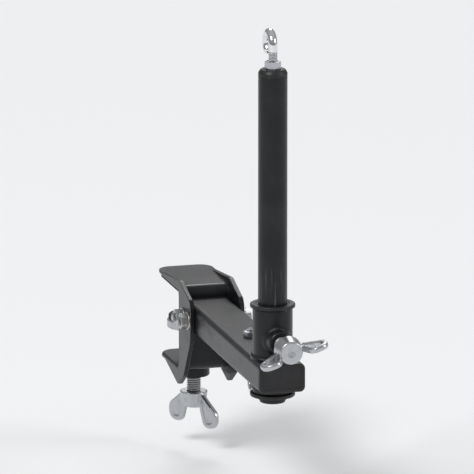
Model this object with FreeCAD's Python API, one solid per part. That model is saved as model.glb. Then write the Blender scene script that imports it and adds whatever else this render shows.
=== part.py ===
import FreeCAD, Part
import math
import os

# Table tennis net clamp: a screw clamp for the table's side edge, with an arm that carries the net's post
# outside the table. Millimetres. The table's top face is z = 0, the clamp screw's axis is x = y = 0,
# +Y runs in over the table, and the post stands out at -Y.

# Where the main pieces stand
edge_to_screw = 23.0          # table's side edge to the clamp screw's axis
board_thickness = 18.0        # board held in the jaws at rest
post_reach = 152.5            # table's side edge to the post's outer face
net_height = 152.5            # top of the net above the table
lock_height = 9.0             # lock screw's axis above the table's top face

# Clamp frame, a pressed channel bent to a C
sheet = 2.5
bend_radius = 3.0             # inside radius of the C's two bends
upper_jaw_reach = 24.0        # screw's axis to the upper jaw's tip
lower_jaw_reach = 18.0        # screw's axis to the lower jaw's tip
jaw_opening = 42.0            # table's top face to the lower jaw
jaw_tip_radius = 8.0          # corners of the jaws, seen from above
rolled_edge = 1.6             # rounding of the channel's bends on the throat side
cheek_depth = 24.0            # how far the cheeks stand out behind the web, round the arm
cheek_foot_depth = 9.0        # the same at the lower bend
cheek_corner = 6.0
cheek_margin = 3.0            # cheek above and below the arm
upper_lip = 4.0               # height of the cheeks' lips on the upper jaw
lower_lip = 8.0               # and under the lower jaw
lip_start = 14.0              # plain length of each jaw in front of its lips

# Rubber facings
upper_pad_thickness = 2.0
edge_pad_thickness = 2.0
edge_pad_height = 24.0
pad_side_margin = 1.6         # from the frame's side to a facing's side
pad_end_margin = 1.5
pad_corner = 5.0

# Arm, a rectangular tube
arm_width = 26.0
arm_height = 16.0
arm_wall = 1.5
arm_corner = 3.0
arm_below_table = 2.0         # arm's top under the table's top face
arm_overhang = 7.0            # arm's end beyond the socket
arm_side_clearance = 0.2      # between the arm and each cheek
plug_plate = 2.5              # visible plate of the arm's end plug
plug_depth = 5.0              # how far the plug goes in
plug_round = 1.0              # rounding of the plate's outer face
plug_clearance = 0.1

# Cross bolts through the cheeks and the arm
bolt_radius = 2.5
bolt_hole_clearance = 0.25
bolt_first = 8.5              # first bolt behind the web
bolt_spacing = 11.0
bolt_flats = 8.0              # across flats of head and nut
bolt_head = 3.5
bolt_nut = 4.0
bolt_end = 1.5                # thread standing out of the nut
bolt_pitch = 0.8
bolt_thread_depth = 0.4
washer_radius = 5.0
washer_thickness = 1.0

# Post and its socket
post_radius = 8.0
post_wall = 1.5
post_above_net = 2.5          # post's top above the net's top
post_below_bush = 2.0         # post's lower end below the lower bush
socket_wall = 1.5
socket_rise = 28.0            # above the arm
socket_drop = 4.0             # below the arm
bush_wall = 1.37              # a bush's sleeve
bush_flange = 2.0
bush_flange_rim = 1.4         # from the socket's outside to the flange's
bush_length = 10.0            # inside the socket
bush_fit = 0.05               # between a bush and the socket
post_fit = 0.08               # between the post and a bush
flat_depth = 0.6              # flat pressed in the post for the lock
post_travel_down = 12.0       # how far the post goes down from rest
flat_margin = 2.0             # flat above the shoe with the post right down
cap_dome = 4.0
cap_shoulder = 1.4            # upright edge of the cap
cap_slope_inset = 0.6         # from the cap's side to where its dome turns
cap_slope_height = 2.7        # height of that turn
cap_insert = 12.0
foot_plug_plate = 1.6
foot_plug_margin = 0.9        # foot plug's plate inside the post's radius

# Metric M8 screws with wings, one for the clamp and one for the lock
screw_radius = 4.0
screw_pitch = 1.25
thread_depth = 0.65
thread_fit = 0.05             # between a screw's crests and its threaded bore
thread_crest = 0.2            # flat crest as a share of the pitch
wing_span = 39.0
wing_height = 20.0
wing_thickness = 3.2
wing_edge = 1.0               # rounding of the ears' edges
wing_tip_radius = 5.6         # ear's outer corner
wing_side_radius = 4.0        # its two other corners
wing_rise = 10.5              # height of the ear's lower outer corner
wing_tip_width = 10.5         # width of the ear along its top
wing_foot = 1.2               # ears start this far above the hub's base
wing_hub_base = 8.0           # radius of the hub next to the thread
wing_hub_top = 6.25
wing_hub_height = 9.0
stud_depth = 7.0              # stud inside the hub
turns_up = 6                  # clamp screw's turns up from rest
clamp_wing_turn = 62.0        # degrees from X to the clamp wing's ears at rest
lock_wing_turn = 18.0         # the same for the lock's wing

# Clamp screw's bush in the lower jaw
bush_neck_radius = 6.5        # through the jaw
bush_body_radius = 9.0
bush_body_length = 9.0
wing_gap = 1.5                # between the wing and the bush with the screw right up

# Swivelling foot on the clamp screw
foot_radius = 15.0
foot_pad_thickness = 2.5
foot_pad_margin = 0.8
disc_thickness = 1.5
disc_rim = 3.0
ball_radius = 3.6
ball_fit = 0.3
ball_top_gap = 0.4
hub_radius = 6.5
hub_below_ball = 2.6          # hub's lower face under the ball's centre
neck_radius = 2.3
thrust_gap = 0.8              # under the hub, room for the foot's tilt
thrust_radius = 6.0
thrust_thickness = 1.0
thrust_fit = 0.2

# Post lock
boss_radius = 6.8
shoe_to_post = 0.05           # between the shoe and the post's flat
boss_length = 7.5             # outside the socket
shoe_fit = 0.1                # between the shoe and the threaded bore
shoe_length = 5.6
shoe_gap = 0.05               # between the shoe and the screw's end
spigot_radius = 1.5
spigot_length = 3.0
spigot_fit = 0.1
lock_thread_shown = 12.0      # thread between the boss and the wing

# Hook on the post's top for the net's upper cord
hook_rod = 2.5                # radius of the rod
hook_bend = 6.0               # radius of the bend at the rod's centre
hook_rise = 25.0              # hook's top above the post's top
hook_wrap = 222.0             # degrees of bend
hook_hole_fit = 0.05
hook_nut_flats = 8.0
hook_nut_height = 4.0

# Hook under the arm for the net's lower cord
tie_rod = 2.0
tie_bend = 5.5
tie_from_post = 46.0
tie_stem_below_arm = 8.0      # arm's underside to the start of the bend
tie_tip = 2.5                 # straight end after the bend
tie_hole_fit = 0.2
tie_end = 1.5                 # thread standing out of the upper nut
tie_nut_flats = 7.0
tie_nut_height = 3.2

# Small roundings and chamfers
edge_round = 0.6
edge_chamfer = 0.5
washer_chamfer = 0.2
hex_face_share = 0.95         # round face of a nut or head as a share of its flats
hex_chamfer_angle = 30.0
corner_share = 0.49           # most of a side that a rounded corner may take
same_place = 1e-6             # two places nearer than this are one
drill_margin = 1.0            # how far a drill runs past a wall

# Places worked out from the sizes above
table_edge_y = -edge_to_screw
post_y = table_edge_y - post_reach + post_radius
web_inner_y = table_edge_y - edge_pad_thickness
web_outer_y = web_inner_y - sheet
upper_jaw_under_z = upper_pad_thickness
upper_jaw_top_z = upper_jaw_under_z + sheet
lower_jaw_top_z = -jaw_opening
lower_jaw_under_z = lower_jaw_top_z - sheet
frame_half_inside = arm_width / 2 + arm_side_clearance
frame_half_width = frame_half_inside + sheet
arm_top_z = -arm_below_table
arm_under_z = arm_top_z - arm_height
arm_middle_z = (arm_top_z + arm_under_z) / 2
bush_outside = post_radius + post_fit + bush_wall
socket_bore = bush_outside + bush_fit
socket_radius = socket_bore + socket_wall
bush_flange_radius = socket_radius + bush_flange_rim
arm_end_y = post_y - socket_radius - arm_overhang
socket_top_z = arm_top_z + socket_rise
socket_under_z = arm_under_z - socket_drop
post_top_z = net_height + post_above_net
post_foot_z = socket_under_z - bush_flange - post_below_bush
flat_from_axis = post_radius - flat_depth
flat_top_z = lock_height + post_travel_down + screw_radius + flat_margin
threaded_bore = screw_radius + thread_fit
bush_under_z = lower_jaw_under_z - bush_body_length
clamp_wing_z = bush_under_z - turns_up * screw_pitch - wing_gap
foot_top_z = -board_thickness
disc_top_z = foot_top_z - foot_pad_thickness
ball_z = disc_top_z - disc_thickness - ball_top_gap - ball_radius
hub_under_z = ball_z - hub_below_ball
thrust_top_z = hub_under_z - thrust_gap
shoulder_z = thrust_top_z - thrust_thickness
boss_end = socket_radius + boss_length
shoe_start = flat_from_axis + shoe_to_post
shoe_end = shoe_start + shoe_length
lock_stud_start = shoe_end + shoe_gap
lock_wing_start = boss_end + lock_thread_shown
hook_top_z = post_top_z + hook_rise
hook_bend_z = hook_top_z - hook_rod - hook_bend
hook_stem_z = post_top_z - cap_insert
tie_y = post_y + tie_from_post
tie_bend_z = arm_under_z - tie_stem_below_arm

X_AXIS = FreeCAD.Vector(1, 0, 0)
Y_AXIS = FreeCAD.Vector(0, 1, 0)
Z_AXIS = FreeCAD.Vector(0, 0, 1)
ORIGIN = FreeCAD.Vector(0, 0, 0)


def on_x(x):
    """Places outline points (y, z) in the plane at this x."""
    return lambda y, z: FreeCAD.Vector(x, y, z)


def on_y(y):
    """Places outline points (x, z) in the plane at this y."""
    return lambda x, z: FreeCAD.Vector(x, y, z)


def on_z(z):
    """Places outline points (x, y) in the plane at this z."""
    return lambda x, y: FreeCAD.Vector(x, y, z)


def outline_face(corners, place):
    """Closed flat face through corners (u, v, radius), each corner rounded as far as its sides allow."""
    points = [place(u, v) for u, v, _ in corners]
    bends = []
    for index, corner in enumerate(points):
        last = points[index - 1]
        following = points[(index + 1) % len(points)]
        bends.append(corner_bend(last, corner, following, corners[index][2]))
    loop = []
    for index, (arc, _, leaving) in enumerate(bends):
        if arc is not None:
            loop.append(arc)
        arriving = bends[(index + 1) % len(bends)][1]
        if leaving.distanceToPoint(arriving) > same_place:
            loop.append(Part.LineSegment(leaving, arriving).toShape())
    return Part.Face(Part.Wire(loop))


def corner_bend(last, corner, following, radius):
    """Arc that rounds a corner, with its two ends; no arc, and the corner twice, where it stays sharp."""
    to_last = (last - corner).normalize()
    to_next = (following - corner).normalize()
    half = to_last.getAngle(to_next) / 2
    if radius <= 0 or half > math.pi / 2 - same_place:
        return None, corner, corner
    shorter_side = min(last.distanceToPoint(corner), following.distanceToPoint(corner))
    setback = min(radius / math.tan(half), corner_share * shorter_side)
    radius = setback * math.tan(half)
    inward = (to_last + to_next).normalize()
    middle = corner + inward * (radius / math.sin(half) - radius)
    start = corner + to_last * setback
    end = corner + to_next * setback
    return Part.Arc(start, middle, end).toShape(), start, end


def rectangle(u0, u1, v0, v1, radius):
    """Corners of a rectangle with all four corners rounded alike."""
    return [(u0, v0, radius), (u1, v0, radius), (u1, v1, radius), (u0, v1, radius)]


def turned(profile):
    """Solid turned about Z from a closed profile of (radius, height) points."""
    corners = [(radius, height, 0) for radius, height in profile]
    return outline_face(corners, on_y(0)).revolve(ORIGIN, Z_AXIS, 360)


def cylinder(radius, length, base, axis):
    """Plain round bar."""
    return Part.makeCylinder(radius, length, base, axis)


def drill(radius, base, axis, depth):
    """Round bar that goes through a wall of this depth and runs past both its faces."""
    return cylinder(radius, depth + 2 * drill_margin, base - axis * drill_margin, axis)


def placed(shape, base, axis, turn=0):
    """Copy of a shape built about Z: turned by degrees, its Z laid along the axis, then moved to the base."""
    moved = shape.copy()
    spin = FreeCAD.Rotation(Z_AXIS, turn)
    moved.Placement = FreeCAD.Placement(base, FreeCAD.Rotation(Z_AXIS, axis) * spin)
    return moved


def rounded_at(shape, radius, chosen):
    """Rounds the edges that the test picks."""
    return shape.makeFillet(radius, [edge for edge in shape.Edges if chosen(edge)])


def threaded_bar(radius, pitch, depth, start, end, chamfer):
    """Round bar about Z whose surface carries one V groove for every turn of its thread."""
    count = int((end - start - 2 * chamfer) / pitch)
    first = start + (end - start - count * pitch) / 2
    profile = [(0, start), (radius - chamfer, start), (radius, start + chamfer)]
    half_crest = pitch * thread_crest / 2
    for turn in range(count):
        low = first + turn * pitch
        profile.append((radius, low + half_crest))
        profile.append((radius - depth, low + pitch / 2))
        profile.append((radius, low + pitch - half_crest))
    profile += [(radius, end - chamfer), (radius - chamfer, end), (0, end)]
    return turned(profile)


def hexagon(flats, height, chamfer_up, chamfer_down):
    """Hexagonal bar about Z from 0 to its height, its corners turned off at either end."""
    corner = flats / math.sqrt(3)
    points = []
    for side in range(6):
        angle = math.radians(60 * side)
        points.append((corner * math.cos(angle), corner * math.sin(angle), 0))
    bar = outline_face(points, on_z(0)).extrude(Z_AXIS * height)
    face_radius = flats / 2 * hex_face_share
    outside = corner + drill_margin
    slope = (outside - face_radius) * math.tan(math.radians(hex_chamfer_angle))
    envelope = [(0, 0)]
    envelope += [(face_radius, 0), (outside, slope)] if chamfer_down else [(outside, 0)]
    envelope += [(outside, height - slope), (face_radius, height)] if chamfer_up else [(outside, height)]
    envelope.append((0, height))
    return bar.common(turned(envelope))


def nut(flats, height, hole_radius):
    """Hexagonal nut about Z from 0 to its height, with its hole chamfered at both ends."""
    hole = turned([
        (0, -edge_chamfer), (hole_radius + 2 * edge_chamfer, -edge_chamfer), (hole_radius, edge_chamfer),
        (hole_radius, height - edge_chamfer), (hole_radius + 2 * edge_chamfer, height + edge_chamfer),
        (0, height + edge_chamfer),
    ])
    return hexagon(flats, height, True, True).cut(hole)


def washer(inner, outer, thickness):
    """Plain washer about Z from 0 to its thickness, with a broken outer edge."""
    return turned([
        (inner, 0), (outer - washer_chamfer, 0), (outer, washer_chamfer), (outer, thickness - washer_chamfer),
        (outer - washer_chamfer, thickness), (inner, thickness),
    ])


def wing():
    """Cast wing about Z: its hub's base is z = 0, with the stud's blind hole, and its ears rise along +Z."""
    hub = turned([
        (0, 0), (wing_hub_base - edge_round, 0), (wing_hub_base, edge_round),
        (wing_hub_top + edge_round, wing_hub_height - edge_round),
        (wing_hub_top - edge_round, wing_hub_height), (0, wing_hub_height),
    ])
    inner_height = wing_hub_height - wing_foot
    body = hub
    for side in (1, -1):
        ear = outline_face([
            (0, wing_foot, 0),
            (side * (wing_hub_base - edge_round), wing_foot, edge_round),
            (side * wing_span / 2, wing_rise, wing_side_radius),
            (side * wing_span / 2, wing_height, wing_tip_radius),
            (side * (wing_span / 2 - wing_tip_width), wing_height, wing_side_radius),
            (side * (wing_hub_top - wing_edge), inner_height, 0),
            (0, inner_height, 0),
        ], on_y(-wing_thickness / 2)).extrude(Y_AXIS * wing_thickness)
        body = body.fuse(rounded_at(ear, wing_edge, is_ear_edge))
    body = body.cut(cylinder(screw_radius + thread_fit, stud_depth + thread_fit, ORIGIN, Z_AXIS))
    return body.removeSplitter()


def is_ear_edge(edge):
    """True for the edges of an ear's two flat sides, but not for its straight end at the hub's axis."""
    box = edge.BoundBox
    in_flat_side = box.YMax - box.YMin < same_place
    at_axis = abs(box.XMin) < same_place and abs(box.XMax) < same_place
    return in_flat_side and not at_axis


def bent_rod(radius, edges):
    """Round rod along a path of tangent lines and arcs, starting at the path's first point."""
    path = Part.Wire(edges)
    start = edges[0].valueAt(edges[0].FirstParameter)
    direction = edges[0].tangentAt(edges[0].FirstParameter)
    section = Part.Wire([Part.Circle(start, direction, radius).toShape()])
    return path.makePipeShell([section], True, False)


def jaw_throat(radius):
    """Corners of the C's inner line, from the upper tip round the web to the lower tip."""
    return [
        (upper_jaw_reach, upper_jaw_under_z, 0), (web_inner_y, upper_jaw_under_z, radius),
        (web_inner_y, lower_jaw_top_z, radius), (lower_jaw_reach, lower_jaw_top_z, 0),
    ]


def clamp_frame():
    """Channel bent to a C: a strip for jaws and web, and a cheek along each side that holds the arm."""
    outer = bend_radius + sheet
    strip = outline_face(jaw_throat(bend_radius) + [
        (lower_jaw_reach, lower_jaw_under_z, 0), (web_outer_y, lower_jaw_under_z, outer),
        (web_outer_y, upper_jaw_top_z, outer), (upper_jaw_reach, upper_jaw_top_z, 0),
    ], on_x(-frame_half_width)).extrude(X_AXIS * 2 * frame_half_width)
    back_y = web_outer_y - cheek_depth
    cheek_corners = jaw_throat(bend_radius) + [
        (lower_jaw_reach, lower_jaw_under_z, 0),
        (lower_jaw_reach - lip_start, lower_jaw_under_z, cheek_corner),
        (web_outer_y + bend_radius, lower_jaw_under_z - lower_lip, cheek_corner),
        (web_outer_y - cheek_foot_depth, lower_jaw_under_z, cheek_corner),
        (back_y, arm_under_z - cheek_margin, cheek_corner),
        (back_y, arm_top_z + cheek_margin, cheek_corner),
        (web_outer_y, upper_jaw_top_z + upper_lip, cheek_corner),
        (upper_jaw_reach - lip_start, upper_jaw_top_z, cheek_corner),
        (upper_jaw_reach, upper_jaw_top_z, 0),
    ]
    frame = strip
    for inner_x in (frame_half_inside, -frame_half_width):
        frame = frame.fuse(outline_face(cheek_corners, on_x(inner_x)).extrude(X_AXIS * sheet))
    frame = frame.removeSplitter()
    frame = rounded_at(frame, jaw_tip_radius, is_tip_corner)
    frame = rounded_at(frame, rolled_edge, is_throat_side)
    frame = frame.cut(bolt_drills())
    return frame.cut(drill(bush_neck_radius, FreeCAD.Vector(0, 0, lower_jaw_under_z), Z_AXIS, sheet))


def is_tip_corner(edge):
    """True for the upright edges at the corners of the two jaw tips."""
    box = edge.BoundBox
    upright = abs(box.ZMax - box.ZMin - sheet) < same_place and box.YMax - box.YMin < same_place
    at_tip = abs(box.YMax - upper_jaw_reach) < same_place or abs(box.YMax - lower_jaw_reach) < same_place
    return upright and at_tip and abs(abs(box.XMax) - frame_half_width) < same_place


def is_throat_side(edge):
    """True for the straight side edges of the throat's web face, from which the rounding runs on."""
    box = edge.BoundBox
    on_web = abs(box.YMin - web_inner_y) < same_place and abs(box.YMax - web_inner_y) < same_place
    on_side = abs(abs(box.XMax) - frame_half_width) < same_place and box.XMax - box.XMin < same_place
    return on_web and on_side


def bolt_drills():
    """Drills for the cross bolts, right through both cheeks and the arm."""
    radius = bolt_radius + bolt_hole_clearance
    side = -frame_half_width
    drills = []
    for bolt_y in bolt_places():
        drills.append(drill(radius, FreeCAD.Vector(side, bolt_y, arm_middle_z), X_AXIS, 2 * frame_half_width))
    return Part.makeCompound(drills)


def bolt_places():
    """The two cross bolts' places along Y."""
    first = web_outer_y - bolt_first
    return [first, first - bolt_spacing]


def upper_jaw_pad():
    """Rubber facing under the upper jaw."""
    half = frame_half_width - pad_side_margin
    face = outline_face([
        (-half, web_inner_y + bend_radius + edge_chamfer, edge_round),
        (half, web_inner_y + bend_radius + edge_chamfer, edge_round),
        (half, upper_jaw_reach - pad_end_margin, pad_corner),
        (-half, upper_jaw_reach - pad_end_margin, pad_corner),
    ], on_z(0))
    return face.extrude(Z_AXIS * upper_pad_thickness)


def edge_pad():
    """Rubber strip on the web, which meets the table's side edge."""
    half = frame_half_width - pad_side_margin
    top = upper_jaw_under_z - bend_radius - edge_chamfer
    face = outline_face(rectangle(-half, half, top - edge_pad_height, top, edge_round * 2), on_y(web_inner_y))
    return face.extrude(Y_AXIS * edge_pad_thickness)


def screw_bush():
    """Threaded bush: a neck up through the lower jaw and a body under it."""
    top = lower_jaw_top_z
    return turned([
        (threaded_bore, bush_under_z + edge_chamfer), (threaded_bore + edge_chamfer, bush_under_z),
        (bush_body_radius - edge_round, bush_under_z), (bush_body_radius, bush_under_z + edge_round),
        (bush_body_radius, lower_jaw_under_z), (bush_neck_radius, lower_jaw_under_z),
        (bush_neck_radius, top), (threaded_bore + edge_chamfer, top), (threaded_bore, top - edge_chamfer),
    ])


def outrigger_arm():
    """Rectangular tube from the frame's web to beyond the post, with its holes."""
    half = arm_width / 2
    length = web_outer_y - arm_end_y
    skin = outline_face(rectangle(-half, half, arm_under_z, arm_top_z, arm_corner), on_y(arm_end_y))
    inside = rectangle(-half + arm_wall, half - arm_wall, arm_under_z + arm_wall, arm_top_z - arm_wall,
                       arm_corner - arm_wall)
    core = outline_face(inside, on_y(arm_end_y))
    arm = skin.extrude(Y_AXIS * length).cut(core.extrude(Y_AXIS * length))
    arm = arm.cut(drill(socket_radius, FreeCAD.Vector(0, post_y, arm_under_z), Z_AXIS, arm_height))
    arm = arm.cut(drill(tie_rod + tie_hole_fit, FreeCAD.Vector(0, tie_y, arm_under_z), Z_AXIS, arm_height))
    return arm.cut(bolt_drills())


def arm_bolts():
    """Two hexagon bolts across the frame, heads at +X."""
    solids = []
    reach = frame_half_width + washer_thickness
    for bolt_y in bolt_places():
        shank_end = -reach - bolt_nut - bolt_end
        shank = threaded_bar(bolt_radius, bolt_pitch, bolt_thread_depth, shank_end, -reach, edge_chamfer)
        plain_base = FreeCAD.Vector(0, 0, -reach - edge_chamfer)
        plain = cylinder(bolt_radius, reach - plain_base.z, plain_base, Z_AXIS)
        head = placed(hexagon(bolt_flats, bolt_head, True, False), FreeCAD.Vector(0, 0, reach), Z_AXIS)
        bolt = shank.fuse([plain, head]).removeSplitter()
        solids.append(placed(bolt, FreeCAD.Vector(0, bolt_y, arm_middle_z), X_AXIS))
    return Part.makeCompound(solids)


def arm_washers():
    """A washer under each bolt's head and nut."""
    solids = []
    ring = washer(bolt_radius + bolt_hole_clearance, washer_radius, washer_thickness)
    for bolt_y in bolt_places():
        for x in (frame_half_width, -frame_half_width - washer_thickness):
            solids.append(placed(ring, FreeCAD.Vector(x, bolt_y, arm_middle_z), X_AXIS))
    return Part.makeCompound(solids)


def arm_nuts():
    """The bolts' nuts at -X."""
    solids = []
    piece = nut(bolt_flats, bolt_nut, bolt_radius + thread_fit)
    for bolt_y in bolt_places():
        x = -frame_half_width - washer_thickness - bolt_nut
        solids.append(placed(piece, FreeCAD.Vector(x, bolt_y, arm_middle_z), X_AXIS))
    return Part.makeCompound(solids)


def arm_end_plug():
    """Plastic plug: a plate over the arm's open end and a stub inside it."""
    half = arm_width / 2
    plate_corners = rectangle(-half, half, arm_under_z, arm_top_z, arm_corner)
    plate = outline_face(plate_corners, on_y(arm_end_y - plug_plate)).extrude(Y_AXIS * plug_plate)
    plate = rounded_at(plate, plug_round, is_plug_rim)
    gap = arm_wall + plug_clearance
    stub_corners = rectangle(-half + gap, half - gap, arm_under_z + gap, arm_top_z - gap, arm_corner - gap)
    stub = outline_face(stub_corners, on_y(arm_end_y)).extrude(Y_AXIS * plug_depth)
    return plate.fuse(stub).removeSplitter()


def is_plug_rim(edge):
    """True for the edges round the plug's outer face."""
    return edge.BoundBox.YMax < arm_end_y - plug_plate + same_place


def post_socket():
    """Upright tube through the arm's end, with a side hole for the lock."""
    tube = turned([
        (socket_bore, socket_under_z), (socket_radius - edge_round, socket_under_z),
        (socket_radius, socket_under_z + edge_round), (socket_radius, socket_top_z - edge_round),
        (socket_radius - edge_round, socket_top_z), (socket_bore, socket_top_z),
    ])
    tube = placed(tube, FreeCAD.Vector(0, post_y, 0), Z_AXIS)
    return tube.cut(drill(threaded_bore, FreeCAD.Vector(0, post_y, lock_height), -Y_AXIS, socket_radius))


def guide_bushes():
    """Two nylon bushes, one in each end of the socket."""
    bore = post_radius + post_fit
    bush = turned([
        (bore, -bush_length), (bush_outside - edge_chamfer, -bush_length),
        (bush_outside, edge_chamfer - bush_length), (bush_outside, 0), (bush_flange_radius, 0),
        (bush_flange_radius, bush_flange - edge_round), (bush_flange_radius - edge_round, bush_flange),
        (bore + edge_chamfer, bush_flange), (bore, bush_flange - edge_chamfer),
    ])
    upper = placed(bush, FreeCAD.Vector(0, post_y, socket_top_z), Z_AXIS)
    lower = placed(bush, FreeCAD.Vector(0, post_y, socket_under_z), -Z_AXIS)
    return Part.makeCompound([upper, lower])


def lock_boss():
    """Threaded boss, coped to the socket's outer side."""
    boss = turned([
        (boss_radius, 0), (boss_radius, boss_end - edge_round), (boss_radius - edge_round, boss_end),
        (threaded_bore + edge_chamfer, boss_end), (threaded_bore, boss_end - edge_chamfer),
        (threaded_bore, 0),
    ])
    boss = placed(boss, FreeCAD.Vector(0, post_y, lock_height), -Y_AXIS)
    cope_base = FreeCAD.Vector(0, post_y, lock_height - boss_radius)
    return boss.cut(drill(socket_radius, cope_base, Z_AXIS, 2 * boss_radius))


def lock_shoe():
    """Round shoe in the boss's bore: it meets the post's flat, and the screw's spigot turns in its back."""
    radius = threaded_bore - shoe_fit
    shoe = turned([
        (0, shoe_start), (radius - edge_chamfer, shoe_start), (radius, shoe_start + edge_chamfer),
        (radius, shoe_end), (spigot_radius + spigot_fit, shoe_end),
        (spigot_radius + spigot_fit, shoe_end - spigot_length - spigot_fit),
        (0, shoe_end - spigot_length - spigot_fit),
    ])
    return placed(shoe, FreeCAD.Vector(0, post_y, lock_height), -Y_AXIS)


def lock_screw():
    """Threaded stud along -Y, with a spigot for the shoe and its end in the wing's hub."""
    stud_end = lock_wing_start + stud_depth
    stud = threaded_bar(screw_radius, screw_pitch, thread_depth, lock_stud_start, stud_end, edge_chamfer)
    spigot_base = FreeCAD.Vector(0, 0, lock_stud_start - spigot_length)
    spigot = cylinder(spigot_radius, spigot_length + edge_chamfer, spigot_base, Z_AXIS)
    stud = stud.fuse(spigot).removeSplitter()
    return placed(stud, FreeCAD.Vector(0, post_y, lock_height), -Y_AXIS)


def lock_wing():
    """Wing on the lock's stud, its ears pointing away from the post."""
    base = FreeCAD.Vector(0, post_y - lock_wing_start, lock_height)
    return placed(wing(), base, -Y_AXIS, lock_wing_turn)


def post_tube():
    """Round tube with a flat along its lower end, on the side of the lock."""
    length = post_top_z - post_foot_z
    base = FreeCAD.Vector(0, post_y, post_foot_z)
    tube = cylinder(post_radius, length, base, Z_AXIS)
    tube = tube.cut(cylinder(post_radius - post_wall, length, base, Z_AXIS))
    flat = Part.makeBox(
        2 * post_radius, post_radius, flat_top_z - post_foot_z,
        FreeCAD.Vector(-post_radius, post_y - flat_from_axis - post_radius, post_foot_z),
    )
    return tube.cut(flat)


def post_foot_plug():
    """Plastic plug in the post's lower end."""
    outside = post_radius - foot_plug_margin
    inside = post_radius - post_wall - plug_clearance
    plug = turned([
        (0, -foot_plug_plate), (outside - edge_round, -foot_plug_plate),
        (outside, edge_round - foot_plug_plate), (outside, 0), (inside, 0),
        (inside, cap_insert - edge_chamfer), (inside - edge_chamfer, cap_insert), (0, cap_insert),
    ])
    return placed(plug, FreeCAD.Vector(0, post_y, post_foot_z), Z_AXIS)


def post_cap():
    """Plastic cap on the post's top, bored for the hook's stem."""
    inside = post_radius - post_wall - plug_clearance
    bore = hook_rod + hook_hole_fit
    slope_radius = post_radius - cap_slope_inset
    seat = hook_nut_flats / math.sqrt(3) + edge_chamfer
    cap = turned([
        (bore, -cap_insert), (inside - edge_chamfer, -cap_insert), (inside, edge_chamfer - cap_insert),
        (inside, 0), (post_radius, 0), (post_radius, cap_shoulder), (slope_radius, cap_slope_height),
        (seat, cap_dome), (bore, cap_dome),
    ])
    return placed(cap, FreeCAD.Vector(0, post_y, post_top_z), Z_AXIS)


def cord_hook():
    """Rod up out of the cap, bent over towards the table into an open eye, with a rounded end."""
    start = FreeCAD.Vector(0, post_y, hook_stem_z)
    bend_start = FreeCAD.Vector(0, post_y, hook_bend_z)
    centre = FreeCAD.Vector(0, post_y + hook_bend, hook_bend_z)

    def on_bend(degrees):
        angle = math.radians(180 - degrees)
        return centre + FreeCAD.Vector(0, hook_bend * math.cos(angle), hook_bend * math.sin(angle))

    end = on_bend(hook_wrap)
    stem = Part.LineSegment(start, bend_start).toShape()
    bend = Part.Arc(bend_start, on_bend(hook_wrap / 2), end).toShape()
    rod = bent_rod(hook_rod, [stem, bend])
    return rod.fuse(Part.makeSphere(hook_rod, end)).removeSplitter()


def hook_nut():
    """Locknut on the hook's stem, on the cap."""
    piece = nut(hook_nut_flats, hook_nut_height, hook_rod + hook_hole_fit)
    return placed(piece, FreeCAD.Vector(0, post_y, post_top_z + cap_dome), Z_AXIS)


def tie_hook():
    """J-shaped rod down through the arm, open upwards on the post's side."""
    top = FreeCAD.Vector(0, tie_y, arm_top_z + tie_nut_height + tie_end)
    bend_start = FreeCAD.Vector(0, tie_y, tie_bend_z)
    bend_low = FreeCAD.Vector(0, tie_y - tie_bend, tie_bend_z - tie_bend)
    bend_end = FreeCAD.Vector(0, tie_y - 2 * tie_bend, tie_bend_z)
    tip = bend_end + Z_AXIS * tie_tip
    rod = bent_rod(tie_rod, [
        Part.LineSegment(top, bend_start).toShape(),
        Part.Arc(bend_start, bend_low, bend_end).toShape(),
        Part.LineSegment(bend_end, tip).toShape(),
    ])
    return rod.fuse(Part.makeSphere(tie_rod, tip)).removeSplitter()


def tie_hook_nuts():
    """Nuts above and below the arm on the tie hook's stem."""
    piece = nut(tie_nut_flats, tie_nut_height, tie_rod + thread_fit)
    upper = placed(piece, FreeCAD.Vector(0, tie_y, arm_top_z), Z_AXIS)
    lower = placed(piece, FreeCAD.Vector(0, tie_y, arm_under_z - tie_nut_height), Z_AXIS)
    return Part.makeCompound([upper, lower])


def thrust_washer():
    """Washer on the clamp screw's shoulder, under the swivelling foot."""
    ring = washer(neck_radius + thrust_fit, thrust_radius, thrust_thickness)
    return placed(ring, FreeCAD.Vector(0, 0, shoulder_z), Z_AXIS)


def clamp_screw():
    """Threaded rod about Z with a neck and a ball on top, its lower end in the wing's hub."""
    bar_end_z = clamp_wing_z - stud_depth
    bar = threaded_bar(screw_radius, screw_pitch, thread_depth, bar_end_z, shoulder_z, edge_chamfer)
    neck_base = FreeCAD.Vector(0, 0, shoulder_z - edge_chamfer)
    neck = cylinder(neck_radius, ball_z - neck_base.z, neck_base, Z_AXIS)
    ball = Part.makeSphere(ball_radius, FreeCAD.Vector(0, 0, ball_z))
    return bar.fuse([neck, ball]).removeSplitter()


def clamp_wing():
    """Wing under the clamp screw, its ears pointing down."""
    return placed(wing(), FreeCAD.Vector(0, 0, clamp_wing_z), -Z_AXIS, clamp_wing_turn)


def pressure_disc():
    """Pressed disc with a turned-down rim and a hub swaged round the screw's ball."""
    under = disc_top_z - disc_thickness
    rim_under = under - disc_rim
    rim_inside = foot_radius - disc_thickness
    disc = turned([
        (0, disc_top_z), (foot_radius - edge_round, disc_top_z), (foot_radius, disc_top_z - edge_round),
        (foot_radius, rim_under), (rim_inside, rim_under), (rim_inside, under - edge_round),
        (rim_inside - edge_round, under), (hub_radius, under), (hub_radius, hub_under_z + edge_round),
        (hub_radius - edge_round, hub_under_z), (0, hub_under_z),
    ])
    return disc.cut(Part.makeSphere(ball_radius + ball_fit, FreeCAD.Vector(0, 0, ball_z)))


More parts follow.
